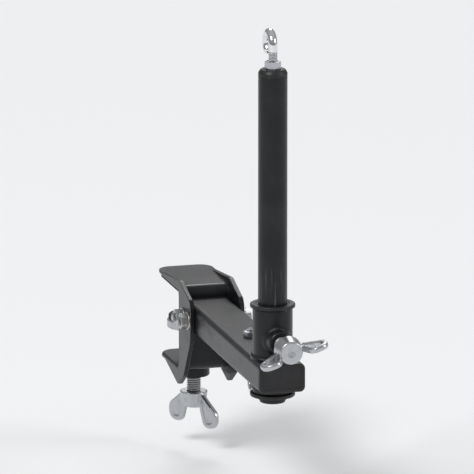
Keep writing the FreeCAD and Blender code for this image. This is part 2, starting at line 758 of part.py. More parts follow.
def foot_pad():
    """Rubber facing on the foot's disc."""
    radius = foot_radius - foot_pad_margin
    return turned([
        (0, disc_top_z), (radius, disc_top_z), (radius, foot_top_z - edge_round),
        (radius - edge_round, foot_top_z), (0, foot_top_z),
    ])


SUB_PARTS = [
    clamp_frame, upper_jaw_pad, edge_pad, screw_bush, outrigger_arm, arm_bolts, arm_washers, arm_nuts,
    arm_end_plug, post_socket, guide_bushes, lock_boss, tie_hook, tie_hook_nuts,
    post_tube, post_foot_plug, post_cap, cord_hook, hook_nut,
    lock_shoe, lock_screw, lock_wing,
    thrust_washer, clamp_screw, clamp_wing, pressure_disc, foot_pad,
]

os.makedirs("parts", exist_ok=True)
for make in SUB_PARTS:
    shape = make()
    shape.exportStep("parts/" + make.__name__ + ".step")
    box = shape.BoundBox
    print(
        f"{make.__name__}: {len(shape.Solids)} solid, {shape.Volume:.0f} mm3, valid {shape.isValid()}, "
        f"x {box.XMin:.1f} {box.XMax:.1f}, y {box.YMin:.1f} {box.YMax:.1f}, z {box.ZMin:.1f} {box.ZMax:.1f}"
    )
print(f"post axis y {post_y}, tie hook y {tie_y}, ball z {ball_z:.2f}, turns of room below the foot "
      f"{(shoulder_z - lower_jaw_top_z) / screw_pitch:.2f}")
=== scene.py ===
import logging
import math
from collections.abc import Callable, Iterable, Sequence
from dataclasses import dataclass
from enum import Enum

import bmesh
import bpy
from mathutils import Matrix, Vector


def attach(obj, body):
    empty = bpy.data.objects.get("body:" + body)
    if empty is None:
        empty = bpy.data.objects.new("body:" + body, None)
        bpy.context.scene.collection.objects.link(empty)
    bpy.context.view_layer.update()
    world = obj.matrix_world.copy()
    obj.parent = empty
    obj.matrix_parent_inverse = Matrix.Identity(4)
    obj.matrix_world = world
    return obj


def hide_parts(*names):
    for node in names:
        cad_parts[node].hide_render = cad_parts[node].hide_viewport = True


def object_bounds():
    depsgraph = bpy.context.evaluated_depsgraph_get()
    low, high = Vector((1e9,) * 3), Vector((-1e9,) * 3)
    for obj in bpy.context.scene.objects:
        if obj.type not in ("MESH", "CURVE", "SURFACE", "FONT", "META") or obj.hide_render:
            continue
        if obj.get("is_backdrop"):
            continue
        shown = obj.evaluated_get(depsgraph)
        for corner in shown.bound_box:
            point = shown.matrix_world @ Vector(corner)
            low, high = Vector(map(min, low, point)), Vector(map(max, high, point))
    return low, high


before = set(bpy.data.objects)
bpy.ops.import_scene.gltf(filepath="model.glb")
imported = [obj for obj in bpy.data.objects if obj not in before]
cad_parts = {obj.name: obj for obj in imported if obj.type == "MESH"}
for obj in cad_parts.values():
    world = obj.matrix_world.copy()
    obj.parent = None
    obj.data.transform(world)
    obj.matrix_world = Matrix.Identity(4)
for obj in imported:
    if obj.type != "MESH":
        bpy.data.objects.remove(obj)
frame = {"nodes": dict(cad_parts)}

# Shapes are made in millimetres and published in metres.
MM = 0.001
# Two places nearer than this are one, in millimetres.
SAME = 0.002

Pair = tuple[float, float]
Triple = tuple[float, float, float]
Socket = bpy.types.NodeSocket
Point, Edge, Face = bmesh.types.BMVert, bmesh.types.BMEdge, bmesh.types.BMFace

# Ways in the part's frame. Outwards is from the clamp to the post.
UP: Triple = (0.0, 0.0, 1.0)
DOWN: Triple = (0.0, 0.0, -1.0)
OUTWARDS: Triple = (0.0, -1.0, 0.0)
INWARDS: Triple = (0.0, 1.0, 0.0)
SIDEWAYS: Triple = (1.0, 0.0, 0.0)

log = logging.getLogger("net_clamp")


class Slot(Enum):
    """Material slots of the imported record."""

    POWDER_COAT = "powder_coat"
    ZINC_PLATE = "zinc_plate"
    CAST_WING = "cast_wing"
    CHROME_WIRE = "chrome_wire"
    PRESSED_DISC = "pressed_disc"
    JAW_RUBBER = "jaw_rubber"
    BLACK_NYLON = "black_nylon"
    WHITE_NYLON = "white_nylon"


class Body(Enum):
    """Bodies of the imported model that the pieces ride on."""

    CLAMP = "clamp"
    POST = "post"
    LOCK_TURNER = "lock_turner"
    CLAMP_SLIDER = "clamp_slider"
    CLAMP_TURNER = "clamp_turner"
    FOOT = "foot"


class Value:
    """A number that varies over a surface. Arithmetic on it adds Math nodes to its tree."""

    def __init__(self, tree: "NodeTree", socket: Socket) -> None:
        """Keeps the output socket that carries the number."""
        self.tree = tree
        self.socket = socket

    def _maths(self, operation: str, first: "Value | float", second: "Value | float" = 0.0) -> "Value":
        """Adds one Math node.

        Args:
            operation: the Math node's operation.
            first: its first number.
            second: its second number.

        Returns:
            The node's result.
        """
        node = self.tree.node("ShaderNodeMath", {"operation": operation}, {0: first, 1: second})
        return Value(self.tree, node.outputs[0])

    def __add__(self, other: "Value | float") -> "Value":
        """self + other."""
        return self._maths("ADD", self, other)

    def __radd__(self, other: float) -> "Value":
        """other + self."""
        return self._maths("ADD", other, self)

    def __sub__(self, other: "Value | float") -> "Value":
        """self - other."""
        return self._maths("SUBTRACT", self, other)

    def __rsub__(self, other: float) -> "Value":
        """other - self."""
        return self._maths("SUBTRACT", other, self)

    def __mul__(self, other: "Value | float") -> "Value":
        """self * other."""
        return self._maths("MULTIPLY", self, other)

    def __rmul__(self, other: float) -> "Value":
        """other * self."""
        return self._maths("MULTIPLY", other, self)

    def sine(self) -> "Value":
        """Sine of the number, in radians."""
        return self._maths("SINE", self)


class NodeTree:
    """Node tree whose nodes all come from one method."""

    def __init__(self, tree: bpy.types.NodeTree) -> None:
        """Empties the tree."""
        self.tree = tree
        tree.nodes.clear()

    def node(self, kind: str, settings: dict | None = None, sockets: dict | None = None) -> bpy.types.Node:
        """Adds a node.

        Args:
            kind: the node's type.
            settings: its properties, which are set first.
            sockets: numbers, colours, sockets or Values for its inputs, by name or index.

        Returns:
            The new node.
        """
        node = self.tree.nodes.new(kind)
        for key, setting in (settings or {}).items():
            setattr(node, key, setting)
        for key, value in (sockets or {}).items():
            socket = node.inputs[key]
            if isinstance(value, Value):
                value = value.socket
            if isinstance(value, Socket):
                self.tree.links.new(value, socket)
            else:
                socket.default_value = (*value, 1.0) if socket.type == "RGBA" else value
        return node


class FinishTree(NodeTree):
    """Node tree of one finish, from its patterns to its shader. Patterns lie in the piece's coordinates."""

    cloud_roughness = 0.55

    def __init__(self, name: str) -> None:
        """Starts an empty material.

        Args:
            name: the material's name.
        """
        self.material = bpy.data.materials.new(name)
        self.material.use_nodes = True
        super().__init__(self.material.node_tree)
        self.place = self.node("ShaderNodeTexCoord").outputs["Object"]

    def noise(self, size: float, detail: float, stretch: Triple = (1.0, 1.0, 1.0)) -> Value:
        """Cloudy pattern from 0 to 1.

        Args:
            size: width of its patches in millimetres.
            detail: how many finer layers it has.
            stretch: how much closer it lies along each axis.

        Returns:
            The pattern.
        """
        closeness = tuple(share / (size * MM) for share in stretch)
        mapped = self.node("ShaderNodeMapping", None, {"Vector": self.place, "Scale": closeness})
        cloud = self.node("ShaderNodeTexNoise", None, {
            "Vector": mapped.outputs[0], "Scale": 1.0, "Detail": detail, "Roughness": self.cloud_roughness,
        })
        return Value(self, cloud.outputs[0])

    def step(self, value: Value, low: float, high: float) -> Value:
        """Smooth step.

        Args:
            value: the number that it follows.
            low: the number at which it's 0.
            high: the number at which it's 1.

        Returns:
            The step.
        """
        ranged = self.node("ShaderNodeMapRange", {"interpolation_type": "SMOOTHSTEP"}, {
            "Value": value, "From Min": low, "From Max": high,
        })
        return Value(self, ranged.outputs[0])

    def patches(
        self, size: float, detail: float, low: float, high: float, stretch: Triple = (1.0, 1.0, 1.0),
    ) -> Value:
        """Patches of 1 with soft rims on a field of 0: a cloudy pattern stepped between two numbers."""
        return self.step(self.noise(size, detail, stretch), low, high)

    def height(self) -> Value:
        """Height of the place in millimetres."""
        parts = self.node("ShaderNodeSeparateXYZ", None, {0: self.place})
        return Value(self, parts.outputs[2]) * (1.0 / MM)

    def from_screw(self) -> Value:
        """Distance of the place from the clamp screw's axis, which is the frame's Z.

        Returns:
            The distance in millimetres.
        """
        flat = self.node("ShaderNodeVectorMath", {"operation": "MULTIPLY"}, {0: self.place, 1: (1, 1, 0)})
        length = self.node("ShaderNodeVectorMath", {"operation": "LENGTH"}, {0: flat.outputs[0]})
        return Value(self, length.outputs["Value"]) * (1.0 / MM)

    def painted(self, layer: str) -> Value:
        """A number kept on the piece's points, such as its wear."""
        return Value(self, self.node("ShaderNodeAttribute", {"attribute_name": layer}).outputs["Fac"])

    def mix(self, share: Value | float, first: Triple | Socket, second: Triple | Socket) -> Socket:
        """Colour between two colours, the first at a share of 0 and the second at 1."""
        return self.node("ShaderNodeMix", {"data_type": "RGBA"}, {0: share, 6: first, 7: second}).outputs[2]

    def bump(self, height: Value, depth: float) -> Socket:
        """Normal of a surface that rises by a height from 0 to 1, times a depth in millimetres."""
        return self.node("ShaderNodeBump", None, {"Height": height, "Distance": depth * MM}).outputs[0]

    def end(self, kind: str, sockets: dict) -> bpy.types.Material:
        """Ends the tree with a shader.

        Args:
            kind: the shader node's type.
            sockets: the shader's inputs.

        Returns:
            The finished material.
        """
        shader = self.node(kind, None, sockets)
        self.node("ShaderNodeOutputMaterial", None, {"Surface": shader.outputs[0]})
        return self.material

    def shaded(self, sockets: dict) -> bpy.types.Material:
        """Ends the tree with a Principled shader that has these inputs."""
        return self.end("ShaderNodeBsdfPrincipled", sockets)


@dataclass(frozen=True)
class PowderCoat:
    """Black powder coat with orange peel, rubbed through to steel at its most exposed edges."""

    name: str = "powder_coat"
    coat: Triple = (0.0075, 0.0080, 0.0095)
    dusty: Triple = (0.022, 0.023, 0.026)
    steel: Triple = (0.38, 0.38, 0.39)
    scuffed: Triple = (0.085, 0.087, 0.092)
    roughness: float = 0.27
    peel_size: float = 1.2
    peel_depth: float = 0.055
    smear_stretch: Triple = (1.0, 0.35, 1.0)
    rub_stretch: Triple = (1.0, 1.0, 0.035)
    rub_heights: Pair | None = None
    rub_fades: Pair = (3.0, 9.0)

    def material(self) -> bpy.types.Material:
        """Builds the finish.

        Returns:
            Its material.
        """
        tree = FinishTree(self.name)
        wear = tree.painted("wear")
        peel = tree.noise(self.peel_size, detail=1.5) + tree.noise(0.22, detail=2.0) * 0.10
        clouds = tree.noise(24.0, detail=4.0)
        smears = tree.patches(9.0, 5.0, 0.52, 0.74, self.smear_stretch)
        exposed = wear + tree.noise(1.3, detail=3.0) * 0.8 + tree.noise(15.0, detail=2.0) * 1.2
        chips = tree.step(exposed, 2.12, 2.20)
        thin = tree.step(wear + tree.noise(5.0, detail=3.0) * 0.8, 0.75, 1.7)
        dust = tree.step(clouds, 0.35, 0.75) * 0.5 + smears * 0.2 + thin * 0.55
        colour = tree.mix(dust, self.coat, self.dusty)
        roughness = self.roughness + clouds * 0.10 + smears * 0.07 - thin * 0.08
        if self.rub_heights:
            low, high = self.rub_heights
            fade_in, fade_out = self.rub_fades
            height = tree.height()
            band = tree.step(height, low, low + fade_in) * (1.0 - tree.step(height, high - fade_out, high))
            rub = band * tree.patches(1.2, 3.0, 0.52, 0.72, self.rub_stretch)
            roughness = roughness + rub * 0.16
            colour = tree.mix(rub * 0.8, colour, self.scuffed)
        bare = chips * 0.85
        return tree.shaded({
            "Base Color": tree.mix(bare, colour, self.steel), "Metallic": bare, "Roughness": roughness,
            "Specular IOR Level": 0.28, "Normal": tree.bump(peel - chips * 0.8, self.peel_depth),
        })


@dataclass(frozen=True)
class ZincPlate:
    """Bright zinc plate: cool grey with faint warm clouds, fine grain and dull handling marks, with painted
    shade in its thread roots, where it's also less metallic and rougher.
    """

    name: str = "zinc_plate"
    cool: Triple = (0.50, 0.52, 0.55)
    warm: Triple = (0.55, 0.51, 0.43)
    dull: Triple = (0.30, 0.31, 0.32)
    # colour of the painted shade in the thread roots
    thread_root_shade: Triple = (0.060, 0.056, 0.050)
    roughness: float = 0.26
    grain_depth: float = 0.012

    def material(self) -> bpy.types.Material:
        """Builds the finish.

        Returns:
            Its material.
        """
        tree = FinishTree(self.name)
        clouds = tree.noise(5.0, detail=4.0)
        tint = tree.patches(14.0, 2.0, 0.45, 0.75)
        grain = tree.noise(0.18, detail=3.0)
        marks = tree.patches(2.4, 4.0, 0.56, 0.78)
        plate = tree.mix(marks * 0.55, tree.mix(tint * 0.55, self.cool, self.warm), self.dull)
        # thread roots: painted shade darkens the colour, and the plate there is less metallic and rougher
        root_shade_and_dulling = tree.step(tree.painted("thread_root_shade") + tree.noise(1.1, detail=3.0) * 0.5 - 0.25, 0.35, 1.0) * 0.8
        return tree.shaded({
            "Base Color": tree.mix(root_shade_and_dulling, plate, self.thread_root_shade), "Metallic": 1.0 - root_shade_and_dulling * 0.6,
            "Roughness": self.roughness + clouds * 0.14 + marks * 0.14 + root_shade_and_dulling * 0.2,
            "Normal": tree.bump(grain + clouds * 0.6, self.grain_depth),
        })


@dataclass(frozen=True)
class CastWing:
    """Tumbled and plated casting: softly pebbled, duller in its hollows, with its mould's parting line."""

    name: str = "cast_wing"
    bright: Triple = (0.49, 0.50, 0.52)
    hollow: Triple = (0.27, 0.275, 0.285)
    roughness: float = 0.31
    pebble_size: float = 0.9
    pebble_depth: float = 0.055
    line_width: float = 0.26

    def material(self) -> bpy.types.Material:
        """Builds the finish.

        Returns:
            Its material.
        """
        tree = FinishTree(self.name)
        pebbles = tree.noise(self.pebble_size, detail=2.5) + tree.noise(0.25, detail=2.0) * 0.25
        stains = tree.patches(3.6, 4.0, 0.50, 0.76)
        pits = tree.patches(0.7, 1.0, 0.72, 0.84)
        rim = tree.painted("wear")
        off_line = tree.painted("parting") + tree.noise(2.0, detail=2.0) * 0.16 - 0.08
        line = 1.0 - tree.step(off_line * off_line, 0.0, self.line_width ** 2)
        shade = stains * 0.45 + pits * 0.35 - rim * 0.35 + line * 0.15
        return tree.shaded({
            "Base Color": tree.mix(tree.step(shade, 0.0, 1.0), self.bright, self.hollow), "Metallic": 1.0,
            "Roughness": self.roughness + stains * 0.14 + pits * 0.10 - rim * 0.07,
            "Normal": tree.bump(pebbles - pits * 0.5 + line * 0.6, self.pebble_depth),
        })


@dataclass(frozen=True)
class ChromeWire:
    """Bright chrome on drawn wire: almost a mirror, with fine draw lines, a few dull specks, and painted
    shade in its thread roots, where it's also less metallic and rougher.
    """

    name: str = "chrome_wire"
    bright: Triple = (0.74, 0.75, 0.77)
    speck: Triple = (0.40, 0.39, 0.38)
    # colour of the painted shade in the thread roots
    thread_root_shade: Triple = (0.08, 0.076, 0.070)
    roughness: float = 0.07
    draw_stretch: Triple = (1.0, 1.0, 0.12)
    draw_depth: float = 0.010

    def material(self) -> bpy.types.Material:
        """Builds the finish.

        Returns:
            Its material.
        """
        tree = FinishTree(self.name)
        draw = tree.noise(0.35, 2.0, self.draw_stretch)
        haze = tree.patches(4.0, 4.0, 0.48, 0.80)
        specks = tree.patches(0.5, 1.0, 0.72, 0.80)
        # thread roots: painted shade darkens the colour, and the chrome there is less metallic and rougher
        root_shade_and_dulling = tree.step(tree.painted("thread_root_shade"), 0.4, 1.0) * 0.7
        chrome = tree.mix(haze * 0.18 + specks * 0.5, self.bright, self.speck)
        return tree.shaded({
            "Base Color": tree.mix(root_shade_and_dulling, chrome, self.thread_root_shade), "Metallic": 1.0 - root_shade_and_dulling * 0.5,
            "Roughness": self.roughness + haze * 0.11 + specks * 0.2 + root_shade_and_dulling * 0.25,
            "Normal": tree.bump(draw + haze * 0.4, self.draw_depth),
        })


@dataclass(frozen=True)
class PressedDisc:
    """Plated pressing with faint rings round its middle from the die."""

    name: str = "pressed_disc"
    plate: Triple = (0.49, 0.505, 0.525)
    stain: Triple = (0.30, 0.29, 0.27)
    roughness: float = 0.27
    ring_spacing: float = 0.55
    ring_depth: float = 0.012

    def material(self) -> bpy.types.Material:
        """Builds the finish.

        Returns:
            Its material.
        """
        tree = FinishTree(self.name)
        rings = (tree.from_screw() * (2.0 * math.pi / self.ring_spacing)).sine() * 0.5 + 0.5
        clouds = tree.noise(4.5, detail=4.0)
        stains = tree.step(clouds, 0.52, 0.78) * 0.5 - tree.painted("wear") * 0.2
        return tree.shaded({
            "Base Color": tree.mix(stains, self.plate, self.stain), "Metallic": 1.0,
            "Roughness": self.roughness + clouds * 0.12 + rings * 0.06,
            "Normal": tree.bump(rings * 0.5 + tree.noise(0.3, detail=2.0), self.ring_depth),
        })


@dataclass(frozen=True)
class JawRubber:
    """Matt moulded rubber: dark grey, lightly chalked by dust, with a fine pitted skin."""

    name: str = "jaw_rubber"
    rubber: Triple = (0.016, 0.016, 0.017)
    chalk: Triple = (0.055, 0.054, 0.052)
    roughness: float = 0.70
    skin_depth: float = 0.04

    def material(self) -> bpy.types.Material:
        """Builds the finish.

        Returns:
            Its material.
        """
        tree = FinishTree(self.name)
        chalk = tree.patches(6.0, 5.0, 0.48, 0.78)
        specks = tree.patches(0.45, 1.0, 0.66, 0.76)
        return tree.shaded({
            "Base Color": tree.mix(chalk * 0.55 + specks * 0.3, self.rubber, self.chalk),
            "Roughness": self.roughness + chalk * 0.16, "Specular IOR Level": 0.35,
            "Normal": tree.bump(tree.noise(0.35, detail=3.0), self.skin_depth),
        })


@dataclass(frozen=True)
class MouldedNylon:
    """Moulded nylon with the fine grain of its mould and a little mottling."""

    name: str
    plain: Triple
    mottled: Triple
    roughness: float = 0.40
    grain_depth: float = 0.03
    scuff_stretch: Triple = (1.0, 1.0, 0.3)

    def material(self) -> bpy.types.Material:
        """Builds the finish.

        Returns:
            Its material.
        """
        tree = FinishTree(self.name)
        mottle = tree.noise(7.0, detail=4.0)
        scuffs = tree.patches(2.2, 5.0, 0.60, 0.78, self.scuff_stretch)
        shade = tree.step(mottle, 0.35, 0.75) * 0.6 + scuffs * 0.4
        return tree.shaded({
            "Base Color": tree.mix(shade, self.plain, self.mottled),
            "Roughness": self.roughness + mottle * 0.12 + scuffs * 0.1, "Specular IOR Level": 0.40,
            "Normal": tree.bump(tree.noise(0.30, detail=2.0), self.grain_depth),
        })


Finish = PowderCoat | ZincPlate | CastWing | ChromeWire | PressedDisc | JawRubber | MouldedNylon


@dataclass(frozen=True)
class Ring:
    """One ring of a piece stacked about Z.

    Its radius is half the width across flats where it's hexagonal. On a chamfered ring the height changes
    by the slope for each millimetre that a point stands outside the round face.
    """

    radius: float
    height: float
    hexagonal: bool = False
    slope: float = 0.0
    face: float = 0.0

    # A worn corner stands out this much from the flats, and a sharp one 1.155 times.
    corner_share = 1.135

    def point(self, angle: float) -> Vector:
        """Finds one of the ring's points.

        Args:
            angle: its angle about Z.

        Returns:
            Its place.
        """
        reach = self.radius
        if self.hexagonal:
            from_flat = (angle + math.pi / 6) % (math.pi / 3) - math.pi / 6
            reach = min(self.radius / math.cos(from_flat), self.radius * self.corner_share)
        height = self.height + self.slope * (reach - self.face)
        return Vector((reach * math.cos(angle), reach * math.sin(angle), height))


@dataclass(frozen=True)
class Run:
    """A straight stretch of a bent rod."""

    length: float


@dataclass(frozen=True)
class Bend:
    """A bend of a rod towards +Y, with its radius at the rod's middle and its angle in degrees."""

    radius: float
    angle: float


def picked(parts: Iterable, kind: type) -> list:
    """The parts of one kind, out of what an operator gave."""
    return [part for part in parts if isinstance(part, kind)]


def stood(name: str, data: bpy.types.ID) -> bpy.types.Object:
    """Puts a new object in the scene.

    Args:
        name: its name.
        data: its mesh, lamp or camera.

    Returns:
        The object.
    """
    made = bpy.data.objects.new(name, data)
    bpy.context.scene.collection.objects.link(made)
    return made


class Shape:
    """A piece's mesh while it's being made, in millimetres.

    Its wear layer marks rounded edges, and its second layer marks how deep each point lies in a thread's
    groove, which the finishes use to paint shade into the thread roots.
    """

    # An arc on an outline has a point for each of these degrees, and never fewer segments than the least.
    arc_step = 12
    least_segments = 3
    # A groove's walls lean in by this much.
    groove_lean = 0.12
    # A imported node's faces are joined where they meet flatter than these degrees.
    flat_within = 0.3
    rings_in_dome = 7
    # The flats on a thread's crest and at its root, as shares of its pitch.
    crest_share, root_share = 0.16, 0.18

    def __init__(self) -> None:
        """Starts an empty mesh."""
        self.mesh = bmesh.new()
        for layer in ("wear", "thread_root_shade"):
            self.mesh.verts.layers.float.new(layer)

    def _outline(self, corners: Sequence[Triple], place: Callable[[float, float], Vector]) -> None:
        """Adds one face with rounded corners.

        Args:
            corners: (u, v, rounding radius) of each corner.
            place: gives a point's place from u and v.
        """
        verts = [self.mesh.verts.new(place(u, v)) for u, v, _ in corners]
        self.mesh.faces.new(verts)
        for index, (vert, (u, v, rounding)) in enumerate(zip(verts, corners)):
            if not rounding:
                continue
            here = place(u, v)
            last = place(*corners[index - 1][:2]) - here
            following = place(*corners[(index + 1) % len(corners)][:2]) - here
            opening = last.angle(following)
            segments = max(self.least_segments, round(math.degrees(math.pi - opening) / self.arc_step))
            bmesh.ops.bevel(
                self.mesh, geom=[vert], offset=rounding / math.tan(opening / 2), offset_type="OFFSET",
                segments=segments, profile=0.5, affect="VERTICES", material=-1,
            )

    def _all(self) -> list:
        """Every point, edge and face."""
        return self.mesh.verts[:] + self.mesh.edges[:] + self.mesh.faces[:]

    def _merge(self) -> None:
        """Merges points at the same place."""
        bmesh.ops.remove_doubles(self.mesh, verts=self.mesh.verts[:], dist=SAME)

    def _mend(self) -> "Shape":
        """Merges doubles and turns every face outwards.

        Returns:
            This shape.
        """
        self._merge()
        bmesh.ops.recalc_face_normals(self.mesh, faces=self.mesh.faces[:])
        return self

    def _close(self) -> "Shape":
        """Closes every hole with a face and mends the shape.

        Returns:
            This shape, closed.
        """
        rim = [edge for edge in self.mesh.edges if edge.is_boundary]
        bmesh.ops.holes_fill(self.mesh, edges=rim, sides=0)
        return self._mend()

    def _grow(self, edges: Sequence[Edge]) -> tuple[list[Point], list[Edge]]:
        """Extrudes a ring of edges in place.

        Args:
            edges: the ring's edges.

        Returns:
            The new ring's points and edges.
        """
        grown = bmesh.ops.extrude_edge_only(self.mesh, edges=edges)["geom"]
        return picked(grown, Point), picked(grown, Edge)

    @classmethod
    def turned(cls, corners: Sequence[Triple], steps: int = 96) -> "Shape":
        """Solid turned about Z.

        Args:
            corners: (radius, height, rounding radius) round its section.
            steps: steps in a full turn.

        Returns:
            The closed shape.
        """
        shape = cls()
        shape._outline(corners, lambda u, v: Vector((u, 0.0, v)))
        mesh = shape.mesh
        bmesh.ops.delete(mesh, geom=mesh.faces[:], context="FACES_ONLY")
        on_axis = [edge for edge in mesh.edges if all(abs(vert.co.x) < SAME for vert in edge.verts)]
        bmesh.ops.delete(mesh, geom=on_axis, context="EDGES")
        bmesh.ops.spin(
            mesh, geom=mesh.verts[:] + mesh.edges[:], cent=(0, 0, 0), axis=UP, angle=2 * math.pi, steps=steps,
            use_merge=True,
        )
        return shape._mend()

    @classmethod
    def pin(cls, radius: float, low: float, high: float, steps: int, rounding: float = 0.0) -> "Shape":
        """Plain round pin about Z between two heights, its lower rim rounded."""
        return cls.turned([(0, low, 0), (radius, low, rounding), (radius, high, 0), (0, high, 0)], steps)

    @classmethod
    def prism(cls, corners: Sequence[Triple], low: float, high: float, rounding: float = 0.0) -> "Shape":
        """Upright block.

        Args:
            corners: (x, y, rounding radius) round its outline.
            low: height of its lower face.
            high: height of its upper face.
            rounding: rounding of both faces' rims.

        Returns:
            The closed shape.
        """
        shape = cls()
        shape._outline(corners, lambda u, v: Vector((u, v, low)))
        mesh = shape.mesh
        raised = bmesh.ops.extrude_face_region(mesh, geom=mesh.faces[:])["geom"]
        bmesh.ops.translate(mesh, verts=picked(raised, Point), vec=(0, 0, high - low))
        shape._mend()
        if rounding:
            rims = [edge for edge in mesh.edges if abs(edge.verts[0].co.z - edge.verts[1].co.z) < SAME]
            shape.round_edges(rims, rounding)
        return shape

    @classmethod
    def stacked(cls, rings: Sequence[Ring], bored: bool, steps: int = 72) -> "Shape":
        """Piece about Z through a stack of rings.

        Args:
            rings: the rings in order.
            bored: whether the last ring joins the first round a bore; otherwise both ends are closed.
            steps: points in each ring.

        Returns:
            The closed shape.
        """
        shape = cls()
        mesh = shape.mesh
        verts = bmesh.ops.create_circle(mesh, cap_ends=False, segments=steps, radius=1.0)["verts"]
        edges = mesh.edges[:]
        for index, ring in enumerate([*rings, rings[0]] if bored else rings):
            if index:
                verts, edges = shape._grow(edges)
            for vert in verts:
                vert.co = ring.point(math.atan2(vert.co.y, vert.co.x))
        shape._merge()
        return shape._close()

    @classmethod
    def thread(
        cls, radius: float, pitch: float, depth: float, low: float, high: float, chamfer: float,
        steps: int = 40,
    ) -> "Shape":
        """Right-handed threaded bar about Z, with both ends chamfered.

        Args:
            radius: radius over the crests.
            pitch: rise in one turn.
            depth: depth of the groove.
            low: height of the lower end.
            high: height of the upper end.
            chamfer: size of the ends' chamfers.
            steps: steps in a turn.

        Returns:
            The closed shape.
        """
        shape = cls()
        mesh = shape.mesh
        thread_root_shade = mesh.verts.layers.float["thread_root_shade"]
        start = low - 2 * pitch
        turns = math.ceil((high - start) / pitch) + 1
        crest, root = pitch * cls.crest_share, pitch * cls.root_share
        flank = (pitch - crest - root) / 2
        outline = [
            (radius, 0.0), (radius, crest), (radius - depth, crest + flank),
            (radius - depth, crest + flank + root), (radius, pitch),
        ]
        verts = [mesh.verts.new((reach, 0.0, start + rise)) for reach, rise in outline]
        edges = [mesh.edges.new(pair) for pair in zip(verts, verts[1:])]
        bmesh.ops.spin(
            mesh, geom=verts + edges, cent=(0, 0, 0), axis=UP, dvec=(0, 0, pitch / steps),
            angle=2 * math.pi, steps=steps, use_merge=False,
        )
        made = 1
        while made < turns:
            copied = bmesh.ops.duplicate(mesh, geom=shape._all())["geom"]
            bmesh.ops.translate(mesh, verts=picked(copied, Point), vec=(0, 0, pitch * made))
            made *= 2
        shape._merge()
        # a side of 0 only cuts, so that the chamfers start on edges of their own
        for height, side in ((low, -1), (high, 1), (low + chamfer, 0), (high - chamfer, 0)):
            bmesh.ops.bisect_plane(
                mesh, geom=shape._all(), dist=SAME / 10, plane_co=(0, 0, height), plane_no=(0, 0, side or 1),
                clear_outer=bool(side),
            )
        for vert in mesh.verts:
            from_end = min(vert.co.z - low, high - vert.co.z)
            reach = math.hypot(vert.co.x, vert.co.y)
            # depth into the groove, which the finishes turn into painted shade in the thread roots
            vert[thread_root_shade] = min(max((radius - reach) / depth, 0.0), 1.0)
            if from_end < chamfer:
                shape.limit(vert, radius - chamfer + from_end)
        return shape._close()

    @staticmethod
    def limit(vert: Point, reach: float) -> None:
        """Draws a point in to a reach from Z, where it stands further out."""
        beyond = math.hypot(vert.co.x, vert.co.y) / reach
        if beyond > 1.0:
            vert.co = (vert.co.x / beyond, vert.co.y / beyond, vert.co.z)

    @classmethod
    def rod(cls, radius: float, path: Iterable[Run | Bend], steps: int = 36) -> "Shape":
        """Round rod that starts upwards at the origin, bends towards +Y and ends in a dome.

        Args:
            radius: the rod's radius.
            path: its runs and bends in order.
            steps: points round the rod.

        Returns:
            The closed shape.
        """
        shape = cls()
        mesh = shape.mesh
        verts = bmesh.ops.create_circle(mesh, cap_ends=False, segments=steps, radius=radius)["verts"]
        edges = mesh.edges[:]
        tip, ahead, inside = Vector(), Vector(UP), Vector(INWARDS)
        for stretch in path:
            if isinstance(stretch, Run):
                verts, edges = shape._grow(edges)
                bmesh.ops.translate(mesh, verts=verts, vec=ahead * stretch.length)
                tip = tip + ahead * stretch.length
                continue
            centre = tip + inside * stretch.radius
            turn = Matrix.Rotation(math.radians(-stretch.angle), 3, "X")
            last = bmesh.ops.spin(
                mesh, geom=verts + edges, cent=centre, axis=(-1, 0, 0), angle=math.radians(stretch.angle),
                steps=max(8, round(stretch.angle / 5)), use_merge=False,
            )["geom_last"]
            verts, edges = picked(last, Point), picked(last, Edge)
            ahead, inside = turn @ ahead, turn @ inside
            tip = centre - inside * stretch.radius
        width, rise = 1.0, 0.0
        for index in range(1, cls.rings_in_dome + 1):
            slope = math.pi / 2 * index / cls.rings_in_dome
            verts, edges = shape._grow(edges)
            narrower = math.cos(slope) / width if index < cls.rings_in_dome else 0.0
            centred = Matrix.Translation(-(tip + ahead * radius * rise))
            bmesh.ops.scale(mesh, vec=(narrower,) * 3, space=centred, verts=verts)
            bmesh.ops.translate(mesh, verts=verts, vec=ahead * radius * (math.sin(slope) - rise))
            width, rise = math.cos(slope), math.sin(slope)
        shape._merge()
        return shape._close()

    @classmethod
    def softened(cls, node: bpy.types.Object, rounding: float, sharper_than: float) -> "Shape":
        """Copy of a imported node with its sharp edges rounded.

        Args:
            node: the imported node.
            rounding: width of the rounding.
            sharper_than: edges that turn by more than these degrees are rounded.

        Returns:
            The closed shape.
        """
        shape = cls()
        mesh = shape.mesh
        mesh.from_mesh(node.data)
        bmesh.ops.scale(mesh, vec=(1 / MM,) * 3, verts=mesh.verts[:])
        shape._merge()
        bmesh.ops.dissolve_limit(
            mesh, angle_limit=math.radians(cls.flat_within), verts=mesh.verts[:], edges=mesh.edges[:],
            use_dissolve_boundaries=False,
        )
        limit = math.radians(sharper_than)
        sharp = [edge for edge in mesh.edges if edge.is_manifold and edge.calc_face_angle(0.0) > limit]
        shape.round_edges(sharp, rounding)
        return shape

    def round_edges(self, edges: Sequence[Edge], width: float) -> None:
        """Rounds edges and marks the middle of each rounding as worn.

        Args:
            edges: the edges.
            width: how far the rounding runs into each face.
        """
        made = bmesh.ops.bevel(
            self.mesh, geom=list(edges), offset=width, offset_type="OFFSET", segments=3, profile=0.5,
            affect="EDGES", clamp_overlap=False, material=-1,
        )
        wear = self.mesh.verts.layers.float["wear"]
        new_faces = set(made["faces"])
        for vert in made["verts"]:
            if vert.is_valid and all(face in new_faces for face in vert.link_faces):
                vert[wear] = 1.0

    def flat_face(self, facing: Vector) -> Face:
        """The widest face that looks one way."""
        self.mesh.normal_update()
        return max(self.mesh.faces, key=lambda face: face.normal.dot(facing) * face.calc_area())

